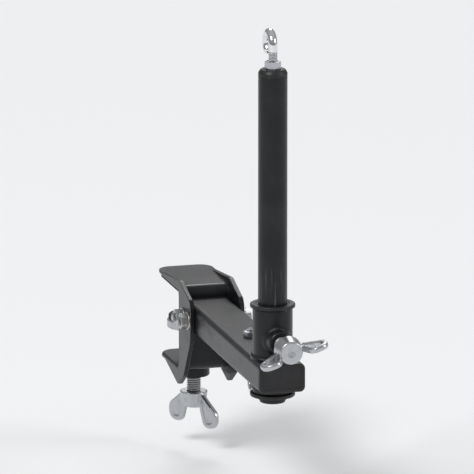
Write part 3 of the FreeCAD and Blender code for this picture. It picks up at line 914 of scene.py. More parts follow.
    def inset(self, face: Face, rim: float, depth: float = 0.0) -> None:
        """Draws a face in by a rim's width, and raises it by a depth or sinks it by a negative one."""
        bmesh.ops.inset_region(self.mesh, faces=[face], thickness=rim, depth=depth, use_even_offset=True)

    def groove(self, facing: Vector, rim: float, ribs: int, depth: float) -> None:
        """Sinks parallel grooves along X in the flat face that looks one way, inside a plain rim.

        Args:
            facing: the way that the face looks.
            rim: width of the plain rim.
            ribs: how many ribs are left between the grooves.
            depth: depth of the grooves.
        """
        mesh = self.mesh
        face = self.flat_face(facing)
        self.inset(face, rim)
        across = facing.cross(Vector(SIDEWAYS))
        level, inside = facing.dot(face.verts[0].co), [vert.co.copy() for vert in face.verts]
        low, high = min(place.dot(across) for place in inside), max(place.dot(across) for place in inside)
        reach = max(abs(place.x) for place in inside) + SAME

        def panels() -> list[Face]:
            """The flat face's panels inside the rim."""
            return [face for face in mesh.faces if all(
                abs(vert.co.dot(facing) - level) < SAME and abs(vert.co.x) < reach
                and low - SAME < vert.co.dot(across) < high + SAME for vert in face.verts)]

        strips = 2 * ribs + 1
        for index in range(1, strips):
            cut = low + (high - low) * index / strips
            parts = {part for panel in panels() for part in (panel, *panel.edges, *panel.verts)}
            bmesh.ops.bisect_plane(mesh, geom=list(parts), plane_co=across * cut, plane_no=across)
        ordered = sorted(panels(), key=lambda panel: panel.calc_center_median().dot(across))
        bmesh.ops.inset_individual(
            mesh, faces=ordered[::2], thickness=self.groove_lean, depth=-depth, use_even_offset=True,
        )
        bmesh.ops.recalc_face_normals(mesh, faces=mesh.faces[:])

    def spent(self, name: str) -> bpy.types.Mesh:
        """Turns the shape into mesh data and frees it.

        Args:
            name: the data's name.

        Returns:
            The data.
        """
        data = bpy.data.meshes.new(name)
        self.mesh.to_mesh(data)
        self.mesh.free()
        return data

    def join(self, *others: "Shape") -> "Shape":
        """Takes in other shapes.

        Args:
            others: the shapes, which are used up.

        Returns:
            This shape.
        """
        for other in others:
            carrier = other.spent("carrier")
            self.mesh.from_mesh(carrier)
            bpy.data.meshes.remove(carrier)
        return self

    def moved(self, place: Matrix) -> "Shape":
        """Moves the whole shape by a matrix and returns it."""
        bmesh.ops.transform(self.mesh, matrix=place, verts=self.mesh.verts[:])
        return self

    def twin(self, place: Matrix) -> "Shape":
        """Copies the shape.

        Args:
            place: where the copy is moved.

        Returns:
            The moved copy.
        """
        other = Shape()
        other.mesh.free()
        other.mesh = self.mesh.copy()
        return other.moved(place)

    def cast(self, grain: float, smoothing: int) -> "Shape":
        """Fuses overlapping shells into one skin with soft inner corners, as a casting has.

        Args:
            grain: size of the skin's faces.
            smoothing: how many times it's smoothed.

        Returns:
            The fused shape.
        """
        carrier = self.spent("carrier")
        rough = stood("carrier", carrier)
        remesh = rough.modifiers.new("skin", "REMESH")
        remesh.mode = "VOXEL"
        remesh.voxel_size = grain
        smooth = rough.modifiers.new("soften", "SMOOTH")
        smooth.factor = 0.5
        smooth.iterations = smoothing
        seen = rough.evaluated_get(bpy.context.evaluated_depsgraph_get())
        skin = bpy.data.meshes.new_from_object(seen)
        fused = Shape()
        fused.mesh.from_mesh(skin)
        bpy.data.objects.remove(rough)
        for data in (carrier, skin):
            bpy.data.meshes.remove(data)
        return fused


def laid(base: Triple, direction: Triple = UP, turn: float = 0.0) -> Matrix:
    """Place of a shape made about Z.

    Args:
        base: where its origin goes.
        direction: where its Z points. Straight down is a half turn about X.
        turn: degrees that it's first turned about its own Z.

    Returns:
        The matrix.
    """
    upright = Vector(UP)
    if upright.dot(direction) < 0.0 and upright.cross(direction).length < SAME:
        tilt = Matrix.Rotation(math.pi, 4, "X")
    else:
        tilt = upright.rotation_difference(direction).to_matrix().to_4x4()
    return Matrix.Translation(Vector(base)) @ tilt @ Matrix.Rotation(math.radians(turn), 4, "Z")


def oblong(half_width: float, ends: Pair, corners: Pair) -> list[Triple]:
    """Outline of a block with rounded corners.

    Args:
        half_width: half its width along the first axis.
        ends: where it starts and ends along the second.
        corners: rounding of its corners at the start and at the end.

    Returns:
        Its corners, for a prism.
    """
    wide, (low, high), (near, far) = half_width, ends, corners
    return [(-wide, low, near), (wide, low, near), (wide, high, far), (-wide, high, far)]


@dataclass(frozen=True)
class Hexagon:
    """Hexagonal bar that nuts and bolt heads are made from, its corners chamfered at 30 degrees.

    A nut's or head's round end face is a share of its flats, and a head's dish runs between two shares of
    that face.
    """

    flats: float
    face_share: float = 0.95
    slope: float = math.tan(math.radians(30))
    bore_chamfer: float = 0.4
    dish: Pair = (0.86, 0.80)
    dish_depth: float = 0.12

    def nut(self, height: float, hole: float) -> Shape:
        """Nut about Z from 0 to its height.

        Args:
            height: its height.
            hole: radius of its hole.

        Returns:
            The shape.
        """
        half, face, chamfer = self.flats / 2, self.flats / 2 * self.face_share, self.bore_chamfer
        return Shape.stacked([
            Ring(hole, chamfer), Ring(hole + chamfer, 0.0), Ring(face, 0.0),
            Ring(half, 0.0, True, self.slope, face), Ring(half, height, True, -self.slope, face),
            Ring(face, height), Ring(hole + chamfer, height), Ring(hole, height - chamfer),
        ], bored=True)

    def head(self, height: float) -> Shape:
        """Bolt head about Z from 0 to its height, with a shallow dish in its top.

        Args:
            height: its height.

        Returns:
            The shape.
        """
        half, face = self.flats / 2, self.flats / 2 * self.face_share
        outer, inner = self.dish
        return Shape.stacked([
            Ring(half, 0.0, True), Ring(half, height, True, -self.slope, face), Ring(face, height),
            Ring(face * outer, height), Ring(face * inner, height - self.dish_depth),
        ], bored=False)


@dataclass(frozen=True)
class Washer:
    """Plain washer about Z, with edges that the press has rounded."""

    inner: float
    outer: float
    thickness: float

    def shape(self) -> Shape:
        """The washer from 0 to its thickness."""
        return Shape.turned([
            (self.inner, 0, 0.1), (self.outer, 0, 0.25), (self.outer, self.thickness, 0.15),
            (self.inner, self.thickness, 0.1),
        ], 72)


@dataclass(frozen=True)
class ScrewThread:
    """A thread's radius, pitch and depth."""

    radius: float
    pitch: float
    depth: float
    nut_clearance: float = 0.02

    def bar(self, low: float, high: float, chamfer: float = 0.5) -> Shape:
        """Threaded bar about Z between two heights."""
        return Shape.thread(self.radius, self.pitch, self.depth, low, high, chamfer)

    def nut(self, flats: float, height: float) -> Shape:
        """Nut for the thread, about Z from 0 to its height."""
        return Hexagon(flats).nut(height, self.radius + self.nut_clearance)


M8 = ScrewThread(4.0, 1.25, 0.65)
M5 = ScrewThread(2.5, 0.8, 0.42)
M4 = ScrewThread(2.0, 0.7, 0.36)


@dataclass(frozen=True)
class FilletWeld:
    """Weld bead round a tube about Z, laid on a face at height 0, with the ripples of its run."""

    tube_radius: float
    leg: float = 1.9
    root: float = 1.3
    ripples: int = 52
    ripple_height: float = 0.112
    points_in_ripple: int = 6
    sunk: float = 0.5
    toe: float = 0.15
    crown: float = 1.05
    crown_gap: float = 0.12
    # distance and height of the face's points, as shares of the leg
    face: tuple[Pair, ...] = ((0.80, 0.36), (0.52, 0.64), (0.28, 0.88))
    # share, waves in a turn and phase of the bead's slow swelling
    swells: tuple[Triple, ...] = ((0.30, 3.0, 0.7), (0.24, 7.0, 2.1))
    reach_at_sides: float | None = None
    saddle_radius: float | None = None

    def section(self) -> list[Triple]:
        """Works out the plain bead's section.

        Returns:
            Its corners, for a turned shape.
        """
        near, leg, top = self.tube_radius, self.leg, self.leg * self.crown
        return [
            (near - self.sunk, -self.root, 0), (near + leg, -self.root, 0), (near + leg, self.toe, 0),
            *((near + leg * out, leg * up, 0) for out, up in self.face),
            (near + self.crown_gap, top, 0), (near - self.sunk, top, 0),
        ]

    def shape(self) -> Shape:
        """Makes the bead, its lower edge sunk into the face.

        Returns:
            The shape.
        """
        bead = Shape.turned(self.section(), self.ripples * self.points_in_ripple)
        foot = self.tube_radius + self.leg
        for vert in bead.mesh.verts:
            angle = math.atan2(vert.co.y, vert.co.x)
            if math.hypot(vert.co.x, vert.co.y) > self.tube_radius and vert.co.z > 0:
                wave = abs(math.cos(angle * self.ripples / 2)) - 0.5
                wave += sum(share * math.sin(waves * angle + phase) for share, waves, phase in self.swells)
                vert.co += Vector((math.cos(angle), math.sin(angle), 1.0)) * self.ripple_height * wave
            if self.reach_at_sides:
                sideways = abs(math.cos(angle)) ** 3
                Shape.limit(vert, foot + (self.reach_at_sides - foot) * sideways)
            if self.saddle_radius:
                vert.co.z += math.sqrt(max(self.saddle_radius ** 2 - vert.co.x ** 2, 0.0))
        bmesh.ops.recalc_face_normals(bead.mesh, faces=bead.mesh.faces[:])
        return bead


@dataclass(frozen=True)
class WingGrip:
    """Die-cast wing about Z: a round hub on z = 0, and two ears with hollowed sides that rise along +Z."""

    span: float = 39.0
    height: float = 20.0
    thickness: float = 3.2
    hub_base: float = 8.0
    hub_top: float = 6.25
    hub_height: float = 9.0
    hub_dish: float = 2.2
    dish_depth: float = 0.5
    ear_root: float = 2.0
    ear_foot: float = 1.2
    tip_low: float = 10.6
    tip_length: float = 10.4
    tip_roundings: Triple = (4.2, 5.4, 4.4)
    rim_rounding: float = 0.9
    hollow_depth: float = 0.55
    hollow_rim: float = 1.7
    hollow_slope: float = 0.5
    skin: float = 0.28
    smoothing: int = 5
    # the skin counts as rim where its normal has less than this along the wing's thickness
    rim_limit: float = 0.75

    def ear(self) -> Shape:
        """Makes the ear towards +X, with a hollow in each side.

        Returns:
            The shape.
        """
        tip, top = self.span / 2, self.hub_height - 0.6
        below, outer, above = self.tip_roundings
        ear = Shape.prism([
            (self.ear_root, self.ear_foot, 0), (self.hub_base - 0.4, self.ear_foot, 0),
            (tip, self.tip_low, below), (tip, self.height, outer),
            (tip - self.tip_length, self.height, above), (self.hub_top - 0.6, top, 0),
            (self.ear_root, top, 0),
        ], -self.thickness / 2, self.thickness / 2, self.rim_rounding)
        ear.moved(Matrix.Rotation(math.pi / 2, 4, "X"))
        for side in (INWARDS, OUTWARDS):
            face = ear.flat_face(Vector(side))
            ear.inset(face, self.hollow_rim)
            ear.inset(face, self.hollow_slope, -self.hollow_depth)
        return ear

    def shape(self) -> Shape:
        """Makes the whole wing as one casting, with its parting line and worn rims marked.

        Returns:
            The shape.
        """
        dish = self.hub_height - self.dish_depth
        hub = Shape.turned([
            (0, 0, 0), (self.hub_base, 0, 0.7), (self.hub_top + 0.35, self.hub_height - 1.6, 0.6),
            (self.hub_top, self.hub_height, 0.9), (self.hub_dish, self.hub_height, 0.3),
            (self.hub_dish - 0.5, dish, 0.3), (0, dish, 0),
        ], 72)
        ear = self.ear()
        other = ear.twin(Matrix.Rotation(math.pi, 4, "Z"))
        wing = hub.join(ear, other).cast(self.skin, self.smoothing)
        wear = wing.mesh.verts.layers.float["wear"]
        parting = wing.mesh.verts.layers.float.new("parting")
        for vert in wing.mesh.verts:
            vert[parting] = vert.co.y
            outside_hub = math.hypot(vert.co.x, vert.co.y) > self.hub_base
            vert[wear] = float(outside_hub and abs(vert.normal.y) < self.rim_limit)
        return wing


class Workshop:
    """Makes each finish once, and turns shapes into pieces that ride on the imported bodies."""

    # how strongly wide faces keep their own shading beside rounded edges
    face_weight = 80
    weld_smooth_under = 60.0

    def __init__(self, nodes: dict[str, bpy.types.Object]) -> None:
        """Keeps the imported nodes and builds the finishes.

        Args:
            nodes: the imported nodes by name.
        """
        self.nodes = nodes
        finishes: dict[Slot, Finish] = {
            Slot.POWDER_COAT: PowderCoat(),
            Slot.ZINC_PLATE: ZincPlate(),
            Slot.CAST_WING: CastWing(),
            Slot.CHROME_WIRE: ChromeWire(),
            Slot.PRESSED_DISC: PressedDisc(),
            Slot.JAW_RUBBER: JawRubber(),
            Slot.BLACK_NYLON: MouldedNylon("black_nylon", (0.010, 0.010, 0.011), (0.021, 0.021, 0.023)),
            Slot.WHITE_NYLON: MouldedNylon("white_nylon", (0.78, 0.77, 0.72), (0.70, 0.68, 0.61)),
        }
        self.materials = {slot: finish.material() for slot, finish in finishes.items()}

    def publish(
        self, shape: Shape, name: str, body: Body, slot: Slot, replaces: str | None = None,
        material: bpy.types.Material | None = None, smooth_under: float = 32.0,
    ) -> None:
        """Turns a shape into a piece.

        Args:
            shape: the finished shape, which is used up.
            name: the piece's name.
            body: the body that it rides on.
            slot: the material slot of its finish.
            replaces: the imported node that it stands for.
            material: a finish of its own, in place of the slot's.
            smooth_under: edges that turn by fewer degrees are shaded smooth.
        """
        bmesh.ops.scale(shape.mesh, vec=(MM,) * 3, verts=shape.mesh.verts[:])
        mesh = shape.spent(name)
        if "custom_normal" in mesh.attributes:
            mesh.attributes.remove(mesh.attributes["custom_normal"])
        mesh.materials.clear()
        mesh.materials.append(material or self.materials[slot])
        mesh.polygons.foreach_set("material_index", [0] * len(mesh.polygons))
        mesh.polygons.foreach_set("use_smooth", [True] * len(mesh.polygons))
        mesh.set_sharp_from_angle(angle=math.radians(smooth_under))
        piece = stood(name, mesh)
        even = piece.modifiers.new("even_faces", "WEIGHTED_NORMAL")
        even.keep_sharp = True
        even.weight = self.face_weight
        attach(piece, body.value)
        if replaces:
            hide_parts(replaces)
        log.info("%s: %d faces on %s, %s", name, len(mesh.polygons), body.value, slot.value)

    def rework(
        self, node: str, name: str, rounding: float, sharper_than: float = 40.0, body: Body = Body.CLAMP,
        slot: Slot = Slot.POWDER_COAT,
    ) -> None:
        """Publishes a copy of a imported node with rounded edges, in the node's place.

        Args:
            node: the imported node.
            name: the piece's name.
            rounding: width of the rounding.
            sharper_than: edges that turn by more than these degrees are rounded.
            body: the body that it rides on.
            slot: the material slot of its finish.
        """
        self.publish(Shape.softened(self.nodes[node], rounding, sharper_than), name, body, slot, node)

    def weld(self, bead: FilletWeld, name: str, place: Matrix) -> None:
        """Publishes a coated weld bead.

        Args:
            bead: the bead.
            name: the piece's name.
            place: where it's laid.
        """
        shape = bead.shape().moved(place)
        self.publish(shape, name, Body.CLAMP, Slot.POWDER_COAT, smooth_under=self.weld_smooth_under)

    def dress(self, node: str, slot: Slot) -> None:
        """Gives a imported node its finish.

        Args:
            node: the node's name.
            slot: its material slot.
        """
        piece = self.nodes[node]
        for place in piece.material_slots:
            place.material = self.materials[slot]
        log.info("%s: packed node, %s", node, slot.value)


@dataclass
class ClampFrame:
    """Pressed C frame with its threaded bush and rubber facings."""

    shop: Workshop
    edge_rounding: float = 0.32
    half_width: float = 14.1
    web_face: float = -25.0
    upper_pad_ends: Pair = (-21.5, 22.5)
    upper_pad_corners: Pair = (2.2, 5.0)
    upper_pad_ribs: int = 9
    edge_pad_heights: Pair = (-25.5, -1.5)
    edge_pad_corners: Pair = (2.2, 2.2)
    edge_pad_ribs: int = 5
    pad_thickness: float = 2.0
    pad_rounding: float = 0.25
    pad_rim: float = 1.4
    groove_depth: float = 0.5
    bush_rounding: float = 0.2
    bush_radius: float = 9.0
    lower_jaw_under: float = -44.5

    def build(self) -> None:
        """Makes the frame's pieces."""
        self.shop.rework("clamp_frame", "frame_pressing", self.edge_rounding, sharper_than=28.0)
        upper = self.facing(self.upper_pad_ends, self.upper_pad_corners, DOWN, self.upper_pad_ribs)
        self.shop.publish(upper, "upper_jaw_facing", Body.CLAMP, Slot.JAW_RUBBER, "upper_jaw_pad")
        edge = self.facing(self.edge_pad_heights, self.edge_pad_corners, UP, self.edge_pad_ribs)
        edge.moved(laid((0, self.web_face, 0), INWARDS, 180.0))
        self.shop.publish(edge, "table_edge_facing", Body.CLAMP, Slot.JAW_RUBBER, "edge_pad")
        self.shop.rework("screw_bush", "threaded_bush", self.bush_rounding)
        bead = FilletWeld(self.bush_radius, leg=1.7, root=0.6)
        self.shop.weld(bead, "bush_weld", laid((0, 0, self.lower_jaw_under), DOWN))

    def facing(self, ends: Pair, corners: Pair, ribbed: Triple, ribs: int) -> Shape:
        """Makes a ribbed rubber facing, flat on z = 0.

        Args:
            ends: where it starts and ends.
            corners: rounding of its corners at the start and at the end.
            ribbed: the way that its ribbed face looks.
            ribs: how many ribs it has.

        Returns:
            The shape.
        """
        outline = oblong(self.half_width, ends, corners)
        pad = Shape.prism(outline, 0.0, self.pad_thickness, self.pad_rounding)
        pad.groove(Vector(ribbed), self.pad_rim, ribs, self.groove_depth)
        return pad


@dataclass
class OutriggerArm:
    """Rectangular arm with its cross bolts and end plug."""

    shop: Workshop
    edge_rounding: float = 0.25
    half_width: float = 13.0
    heights: Pair = (-18.0, -2.0)
    end: float = -185.5
    corner: float = 3.0
    wall: float = 1.6
    plug_plate: float = 2.5
    plug_rounding: float = 0.9
    plug_rim: float = 1.0
    plug_depth: float = 5.0
    stub_corner: float = 1.4
    bolts: Pair = (-36.0, -47.0)
    cheek_side: float = 15.7
    washer: Washer = Washer(2.75, 5.0, 1.0)
    flats: float = 8.0
    head_height: float = 3.5
    head_turn: float = 20.05
    nut_height: float = 4.0
    nut_turn: float = 11.0
    thread_end: float = 1.5
    overlaps: Pair = (0.5, 0.3)

    def build(self) -> None:
        """Makes the arm's pieces."""
        self.shop.rework("outrigger_arm", "arm_tube", self.edge_rounding, sharper_than=28.0)
        self.plug()
        self.fasteners()

    def plug(self) -> None:
        """The plug in the arm's open end, its plate's middle slightly sunk."""
        low, high = self.heights
        tall = (high - low) / 2
        outline = oblong(self.half_width, (-tall, tall), (self.corner, self.corner))
        plate = Shape.prism(outline, 0.0, self.plug_plate)
        plate.round_edges(plate.flat_face(Vector(UP)).edges[:], self.plug_rounding)
        face = plate.flat_face(Vector(UP))
        plate.inset(face, self.plug_rim)
        plate.inset(face, 0.4, -0.3)
        tall -= self.wall
        outline = oblong(self.half_width - self.wall, (-tall, tall), (self.stub_corner, self.stub_corner))
        stub = Shape.prism(outline, -self.plug_depth, 0.05)
        whole = plate.join(stub).moved(laid((0, self.end, (low + high) / 2), OUTWARDS))
        self.shop.publish(whole, "arm_plug", Body.CLAMP, Slot.BLACK_NYLON, "arm_end_plug")

    def fasteners(self) -> None:
        """The two cross bolts with their washers and nuts."""
        seat = self.cheek_side + self.washer.thickness
        bolts, washers, nuts = Shape(), Shape(), Shape()
        for place in self.bolts:
            axis = laid((0, place, sum(self.heights) / 2), SIDEWAYS)
            bolts.join(self.bolt(seat).moved(axis))
            for height in (self.cheek_side, -seat):
                washers.join(self.washer.shape().moved(axis @ laid((0, 0, height))))
            low = -seat - self.nut_height
            nut = M5.nut(self.flats, self.nut_height)
            nuts.join(nut.moved(axis @ laid((0, 0, low), turn=self.nut_turn + place)))
        self.shop.publish(bolts, "cross_bolts", Body.CLAMP, Slot.ZINC_PLATE, "arm_bolts")
        self.shop.publish(washers, "bolt_washers", Body.CLAMP, Slot.ZINC_PLATE, "arm_washers")
        self.shop.publish(nuts, "bolt_nuts", Body.CLAMP, Slot.ZINC_PLATE, "arm_nuts")

    def bolt(self, seat: float) -> Shape:
        """Makes one bolt about Z.

        Args:
            seat: how far the head's seat and the nut's seat each are from 0.

        Returns:
            The shape.
        """
        thread_top = 1.0 - seat
        into_thread, into_head = self.overlaps
        head = Hexagon(self.flats).head(self.head_height).moved(laid((0, 0, seat), turn=self.head_turn))
        shank = Shape.pin(M5.radius, thread_top - into_thread, seat + into_head, 48)
        return head.join(shank, M5.bar(-seat - self.nut_height - self.thread_end, thread_top))


@dataclass
class PostGuide:
    """Upright socket welded through the arm, with its guide bushes and the lock's boss."""

    shop: Workshop
    edge_rounding: float = 0.2
    post_y: float = -167.5
    radius: float = 11.0
    top: float = 26.0
    foot: float = -22.0
    arm_heights: Pair = (-18.0, -2.0)
    bush_bore: float = 8.08
    bush_outside: float = 9.45
    bush_length: float = 10.0
    flange_radius: float = 12.4
    flange: float = 2.0
    lip: float = 0.35
    lock_height: float = 9.0
    boss_radius: float = 6.8

    def build(self) -> None:
        """Makes the guide's pieces."""
        self.shop.rework("post_socket", "socket_tube", self.edge_rounding)
        self.shop.rework("lock_boss", "boss_of_lock", self.edge_rounding)
        self.welds()
        self.bushes()

    def welds(self) -> None:
        """Beads round the socket above and below the arm, and round the boss."""
        low, high = self.arm_heights
        around = FilletWeld(self.radius, leg=1.8, reach_at_sides=12.1)
        self.shop.weld(around, "socket_weld_upper", laid((0, self.post_y, high)))
        self.shop.weld(around, "socket_weld_lower", laid((0, self.post_y, low), DOWN))
        saddle = FilletWeld(self.boss_radius, leg=1.5, root=0.9, ripples=34, saddle_radius=self.radius)
        self.shop.weld(saddle, "boss_weld", laid((0, self.post_y, self.lock_height), OUTWARDS))

    def bushes(self) -> None:
        """The two moulded bushes."""
        bore, outside, rim, top = self.bush_bore, self.bush_outside, self.flange_radius, self.flange
        bush = Shape.turned([
            (bore, -self.bush_length, 0.2), (outside, -self.bush_length, 0.4), (outside, 0, 0),
            (rim, 0, 0.25), (rim, top, 0.7), (bore + 1.5, top, 0.2), (bore + 0.9, top - self.lip, 0.2),
            (bore, top - self.lip, 0.3),
        ])
        lower = bush.twin(laid((0, self.post_y, self.foot), DOWN))
        bush.moved(laid((0, self.post_y, self.top)))
        self.shop.publish(bush.join(lower), "post_bushes", Body.CLAMP, Slot.BLACK_NYLON, "guide_bushes")


@dataclass
class LowerCordHook:
    """J-shaped hook under the arm, held by two nuts."""

    shop: Workshop
    place: float = -121.5
    top: float = 2.7
    upper_thread_end: float = -4.0
    lower_thread: Pair = (-24.4, -16.0)
    bend_start: float = -26.0
    bend: float = 5.5
    tip: float = 2.5
    overlap: float = 0.3
    nut_seats: Pair = (-2.0, -21.2)
    nut_turns: Pair = (17.0, 38.0)
    nut_flats: float = 7.0
    nut_height: float = 3.2

    def build(self) -> None:
        """Makes the hook and its nuts."""
        start, end = self.lower_thread
        # the rod is made upwards and turned over, so that its open side faces the post
        hook = Shape.rod(M4.radius, [Run(start - self.bend_start), Bend(self.bend, 180.0), Run(self.tip)])
        hook.moved(laid((0, self.place, start), DOWN))
        shank = Shape.pin(M4.radius, end - self.overlap, self.upper_thread_end + self.overlap, 36)
        upper = M4.bar(self.upper_thread_end, self.top)
        lower = M4.bar(start - 0.35, end, 0.3)
        stem = shank.join(upper, lower).moved(laid((0, self.place, 0)))
        self.shop.publish(hook.join(stem), "lower_cord_hook", Body.CLAMP, Slot.CHROME_WIRE, "tie_hook")
        nuts = Shape()
        for seat, turn in zip(self.nut_seats, self.nut_turns):
            nut = M4.nut(self.nut_flats, self.nut_height)
            nuts.join(nut.moved(laid((0, self.place, seat), turn=turn)))
        self.shop.publish(nuts, "lower_hook_nuts", Body.CLAMP, Slot.ZINC_PLATE, "tie_hook_nuts")


@dataclass
class NetPost:
    """Sliding post with its plug, cap and upper hook."""

    shop: Workshop
    post_y: float = -167.5
    radius: float = 8.0
    inside: float = 6.4
    flat: float = 7.4
    flat_top: float = 27.0
    flat_fade: float = 1.5
    foot: float = -26.0
    top: float = 155.0
    insert: float = 12.0
    plug_plate: float = 1.6
    dome: float = 4.0
    cap_bore: float = 2.55
    cap_shoulder: float = 1.7
    cap_radii: Pair = (6.9, 5.1)
    rub_heights: Pair = (18.0, 52.0)
    hook_bend_height: float = 171.49
    hook_bend: float = 6.0
    hook_wrap: float = 222.0
    hook_thread: Pair = (143.0, 168.2)
    nut_flats: float = 8.0
    nut_height: float = 4.0
    nut_turn: float = 8.0

    def build(self) -> None:
        """Makes the post's pieces."""
        self.tube()
        self.ends()
        self.hook()

    def tube(self) -> None:
        """The tube, pressed flat on the lock's side up to the top of its travel."""
        bore = self.inside + 0.1
        shape = Shape.turned([
            (bore, self.foot, 0.15), (self.radius, self.foot, 0.3), (self.radius, self.flat_top, 0),
            (self.radius, self.flat_top + self.flat_fade, 0), (self.radius, self.top, 0.3),
            (bore, self.top, 0.15),
        ], 120)
        for vert in shape.mesh.verts:
            if vert.co.z <= self.flat_top + SAME:
                vert.co.y = max(vert.co.y, -self.flat)
        shape.moved(laid((0, self.post_y, 0)))
        coat = PowderCoat(name="post_powder_coat", rub_heights=self.rub_heights).material()
        self.shop.publish(shape, "sliding_post", Body.POST, Slot.POWDER_COAT, "post_tube", coat, 20.0)

    def ends(self) -> None:
        """The plug in the post's foot and the cap on its top."""
        plate, inside, bore, dome = self.radius - 0.9, self.inside, self.cap_bore, self.dome
        lower, upper = self.cap_radii
        plug = Shape.turned([
            (0, -self.plug_plate, 0), (plate, -self.plug_plate, 0.6), (plate, 0, 0.1), (inside, 0, 0),
            (inside, self.insert, 0.5), (0, self.insert, 0),
        ]).moved(laid((0, self.post_y, self.foot)))
        self.shop.publish(plug, "foot_plug", Body.POST, Slot.BLACK_NYLON, "post_foot_plug")
        cap = Shape.turned([
            (bore, -self.insert, 0), (inside, -self.insert, 0.5), (inside, 0, 0), (self.radius, 0, 0.12),
            (self.radius, self.cap_shoulder, 1.6), (lower, dome - 0.35, 1.4), (upper, dome, 0.2),
            (bore, dome, 0),
        ]).moved(laid((0, self.post_y, self.top)))
        self.shop.publish(cap, "top_cap", Body.POST, Slot.BLACK_NYLON, "post_cap")

    def hook(self) -> None:
        """The bent rod with its threaded stem, and its locknut."""
        low, high = self.hook_thread
        rod = Shape.rod(M5.radius, [Run(self.hook_bend_height - high), Bend(self.hook_bend, self.hook_wrap)])
        rod.moved(laid((0, self.post_y, high)))
        stem = M5.bar(low, high + 0.4, 0.35).moved(laid((0, self.post_y, 0)))
        self.shop.publish(rod.join(stem), "upper_cord_hook", Body.POST, Slot.CHROME_WIRE, "cord_hook")
        nut = M5.nut(self.nut_flats, self.nut_height)
        nut.moved(laid((0, self.post_y, self.top + self.dome), turn=self.nut_turn))
        self.shop.publish(nut, "upper_hook_nut", Body.POST, Slot.ZINC_PLATE, "hook_nut")


@dataclass
class PostLock:
    """Wing screw that presses a nylon shoe on the post."""

    shop: Workshop
    axis: Triple = (0.0, -167.5, 9.0)
    stud_start: float = 13.1
    wing_start: float = 30.5
    wing_turn: float = 18.0
    stud_in_hub: float = 6.5
    spigot_radius: float = 1.5
    spigot_length: float = 3.0
    spigot_rounding: float = 0.2
    overlap: float = 0.4

    def build(self) -> None:
        """Makes the lock's pieces."""
        outwards = laid(self.axis, OUTWARDS)
        start = self.stud_start
        spigot = Shape.pin(
            self.spigot_radius, start - self.spigot_length, start + self.overlap, 36, self.spigot_rounding,
        )
        stud = M8.bar(start, self.wing_start + self.stud_in_hub).join(spigot).moved(outwards)
        self.shop.publish(stud, "lock_stud", Body.LOCK_TURNER, Slot.ZINC_PLATE, "lock_screw")
        wing = WingGrip().shape()
        wing.moved(outwards @ laid((0, 0, self.wing_start), turn=self.wing_turn))
        self.shop.publish(wing, "lock_grip", Body.LOCK_TURNER, Slot.CAST_WING, "lock_wing")
        self.shop.dress("lock_shoe", Slot.WHITE_NYLON)


@dataclass
class ClampScrew:
    """Wing screw of the clamp with its swivelling, rubber-faced foot."""

    shop: Workshop
    shoulder: float = -30.4
    wing_height: float = -62.5
    wing_turn: float = 62.0
    stud_in_hub: float = 6.5
    neck_radius: float = 2.3
    overlap: float = 0.4
    ball_height: float = -26.0
    ball_radius: float = 3.6
    ball_steps: int = 12
    washer: Washer = Washer(2.5, 6.0, 1.0)
    disc_rounding: float = 0.18
    pad_heights: Pair = (-20.5, -18.0)
    pad_radius: float = 14.2
    pad_grooves: tuple[float, ...] = (11.6, 9.0, 6.4, 3.8)
    groove_depth: float = 0.55
    groove_halves: Pair = (0.6, 0.4)
    groove_rounding: float = 0.12

    def build(self) -> None:
        """Makes the screw's pieces."""
        stud = M8.bar(self.wing_height - self.stud_in_hub, self.shoulder).join(*self.neck_and_ball())
        self.shop.publish(stud, "clamp_stud", Body.CLAMP_TURNER, Slot.ZINC_PLATE, "clamp_screw")
        wing = WingGrip().shape().moved(laid((0, 0, self.wing_height), DOWN, self.wing_turn))
        self.shop.publish(wing, "clamp_grip", Body.CLAMP_TURNER, Slot.CAST_WING, "clamp_wing")
        washer = self.washer.shape().moved(laid((0, 0, self.shoulder)))
        name = "screw_thrust_washer"
        self.shop.publish(washer, name, Body.CLAMP_SLIDER, Slot.ZINC_PLATE, "thrust_washer")
        self.shop.rework(
            "pressure_disc", "swivel_disc", self.disc_rounding, body=Body.FOOT, slot=Slot.PRESSED_DISC,
        )
        self.facing()

    def neck_and_ball(self) -> tuple[Shape, Shape]:
        """Makes the end of the screw that the foot swivels on.

        Returns:
            The neck and the ball.
        """
        neck = Shape.pin(self.neck_radius, self.shoulder - self.overlap, self.ball_height, 40)
        rounds = [math.pi * (step / self.ball_steps - 0.5) for step in range(self.ball_steps + 1)]
        ball = Shape.turned([
            (self.ball_radius * math.cos(slope), self.ball_height + self.ball_radius * math.sin(slope), 0)
            for slope in rounds
        ], 40)
        return neck, ball

    def facing(self) -> None:
        """The foot's rubber facing, with rings moulded in its face."""
        low, high = self.pad_heights
        floor, rounding = high - self.groove_depth, self.groove_rounding
        wide, narrow = self.groove_halves
        section: list[Triple] = [(0, low, 0), (self.pad_radius, low, 0.1), (self.pad_radius, high, 0.6)]
        for middle in self.pad_grooves:
            section += [
                (middle + wide, high, rounding), (middle + narrow, floor, rounding),
                (middle - narrow, floor, rounding), (middle - wide, high, rounding),
            ]
        section.append((0, high, 0))
        self.shop.publish(Shape.turned(section), "foot_facing", Body.FOOT, Slot.JAW_RUBBER, "foot_pad")


@dataclass(frozen=True)
class Lamp:
    """Square soft lamp: its place from the object's middle, its side in metres and its power in watts."""

    name: str
    place: Triple
    size: float
    power: float

    def stand(self, middle: Vector) -> None:
        """Stands the lamp and points it at the object's middle.

        Args:
            middle: the object's middle.
        """
        data = bpy.data.lights.new(self.name, "AREA")
        data.size = self.size
        data.energy = self.power
        lamp = stood(self.name, data)
        lamp.location = middle + Vector(self.place)
        lamp.rotation_euler = (-Vector(self.place)).to_track_quat("-Z", "Y").to_euler()


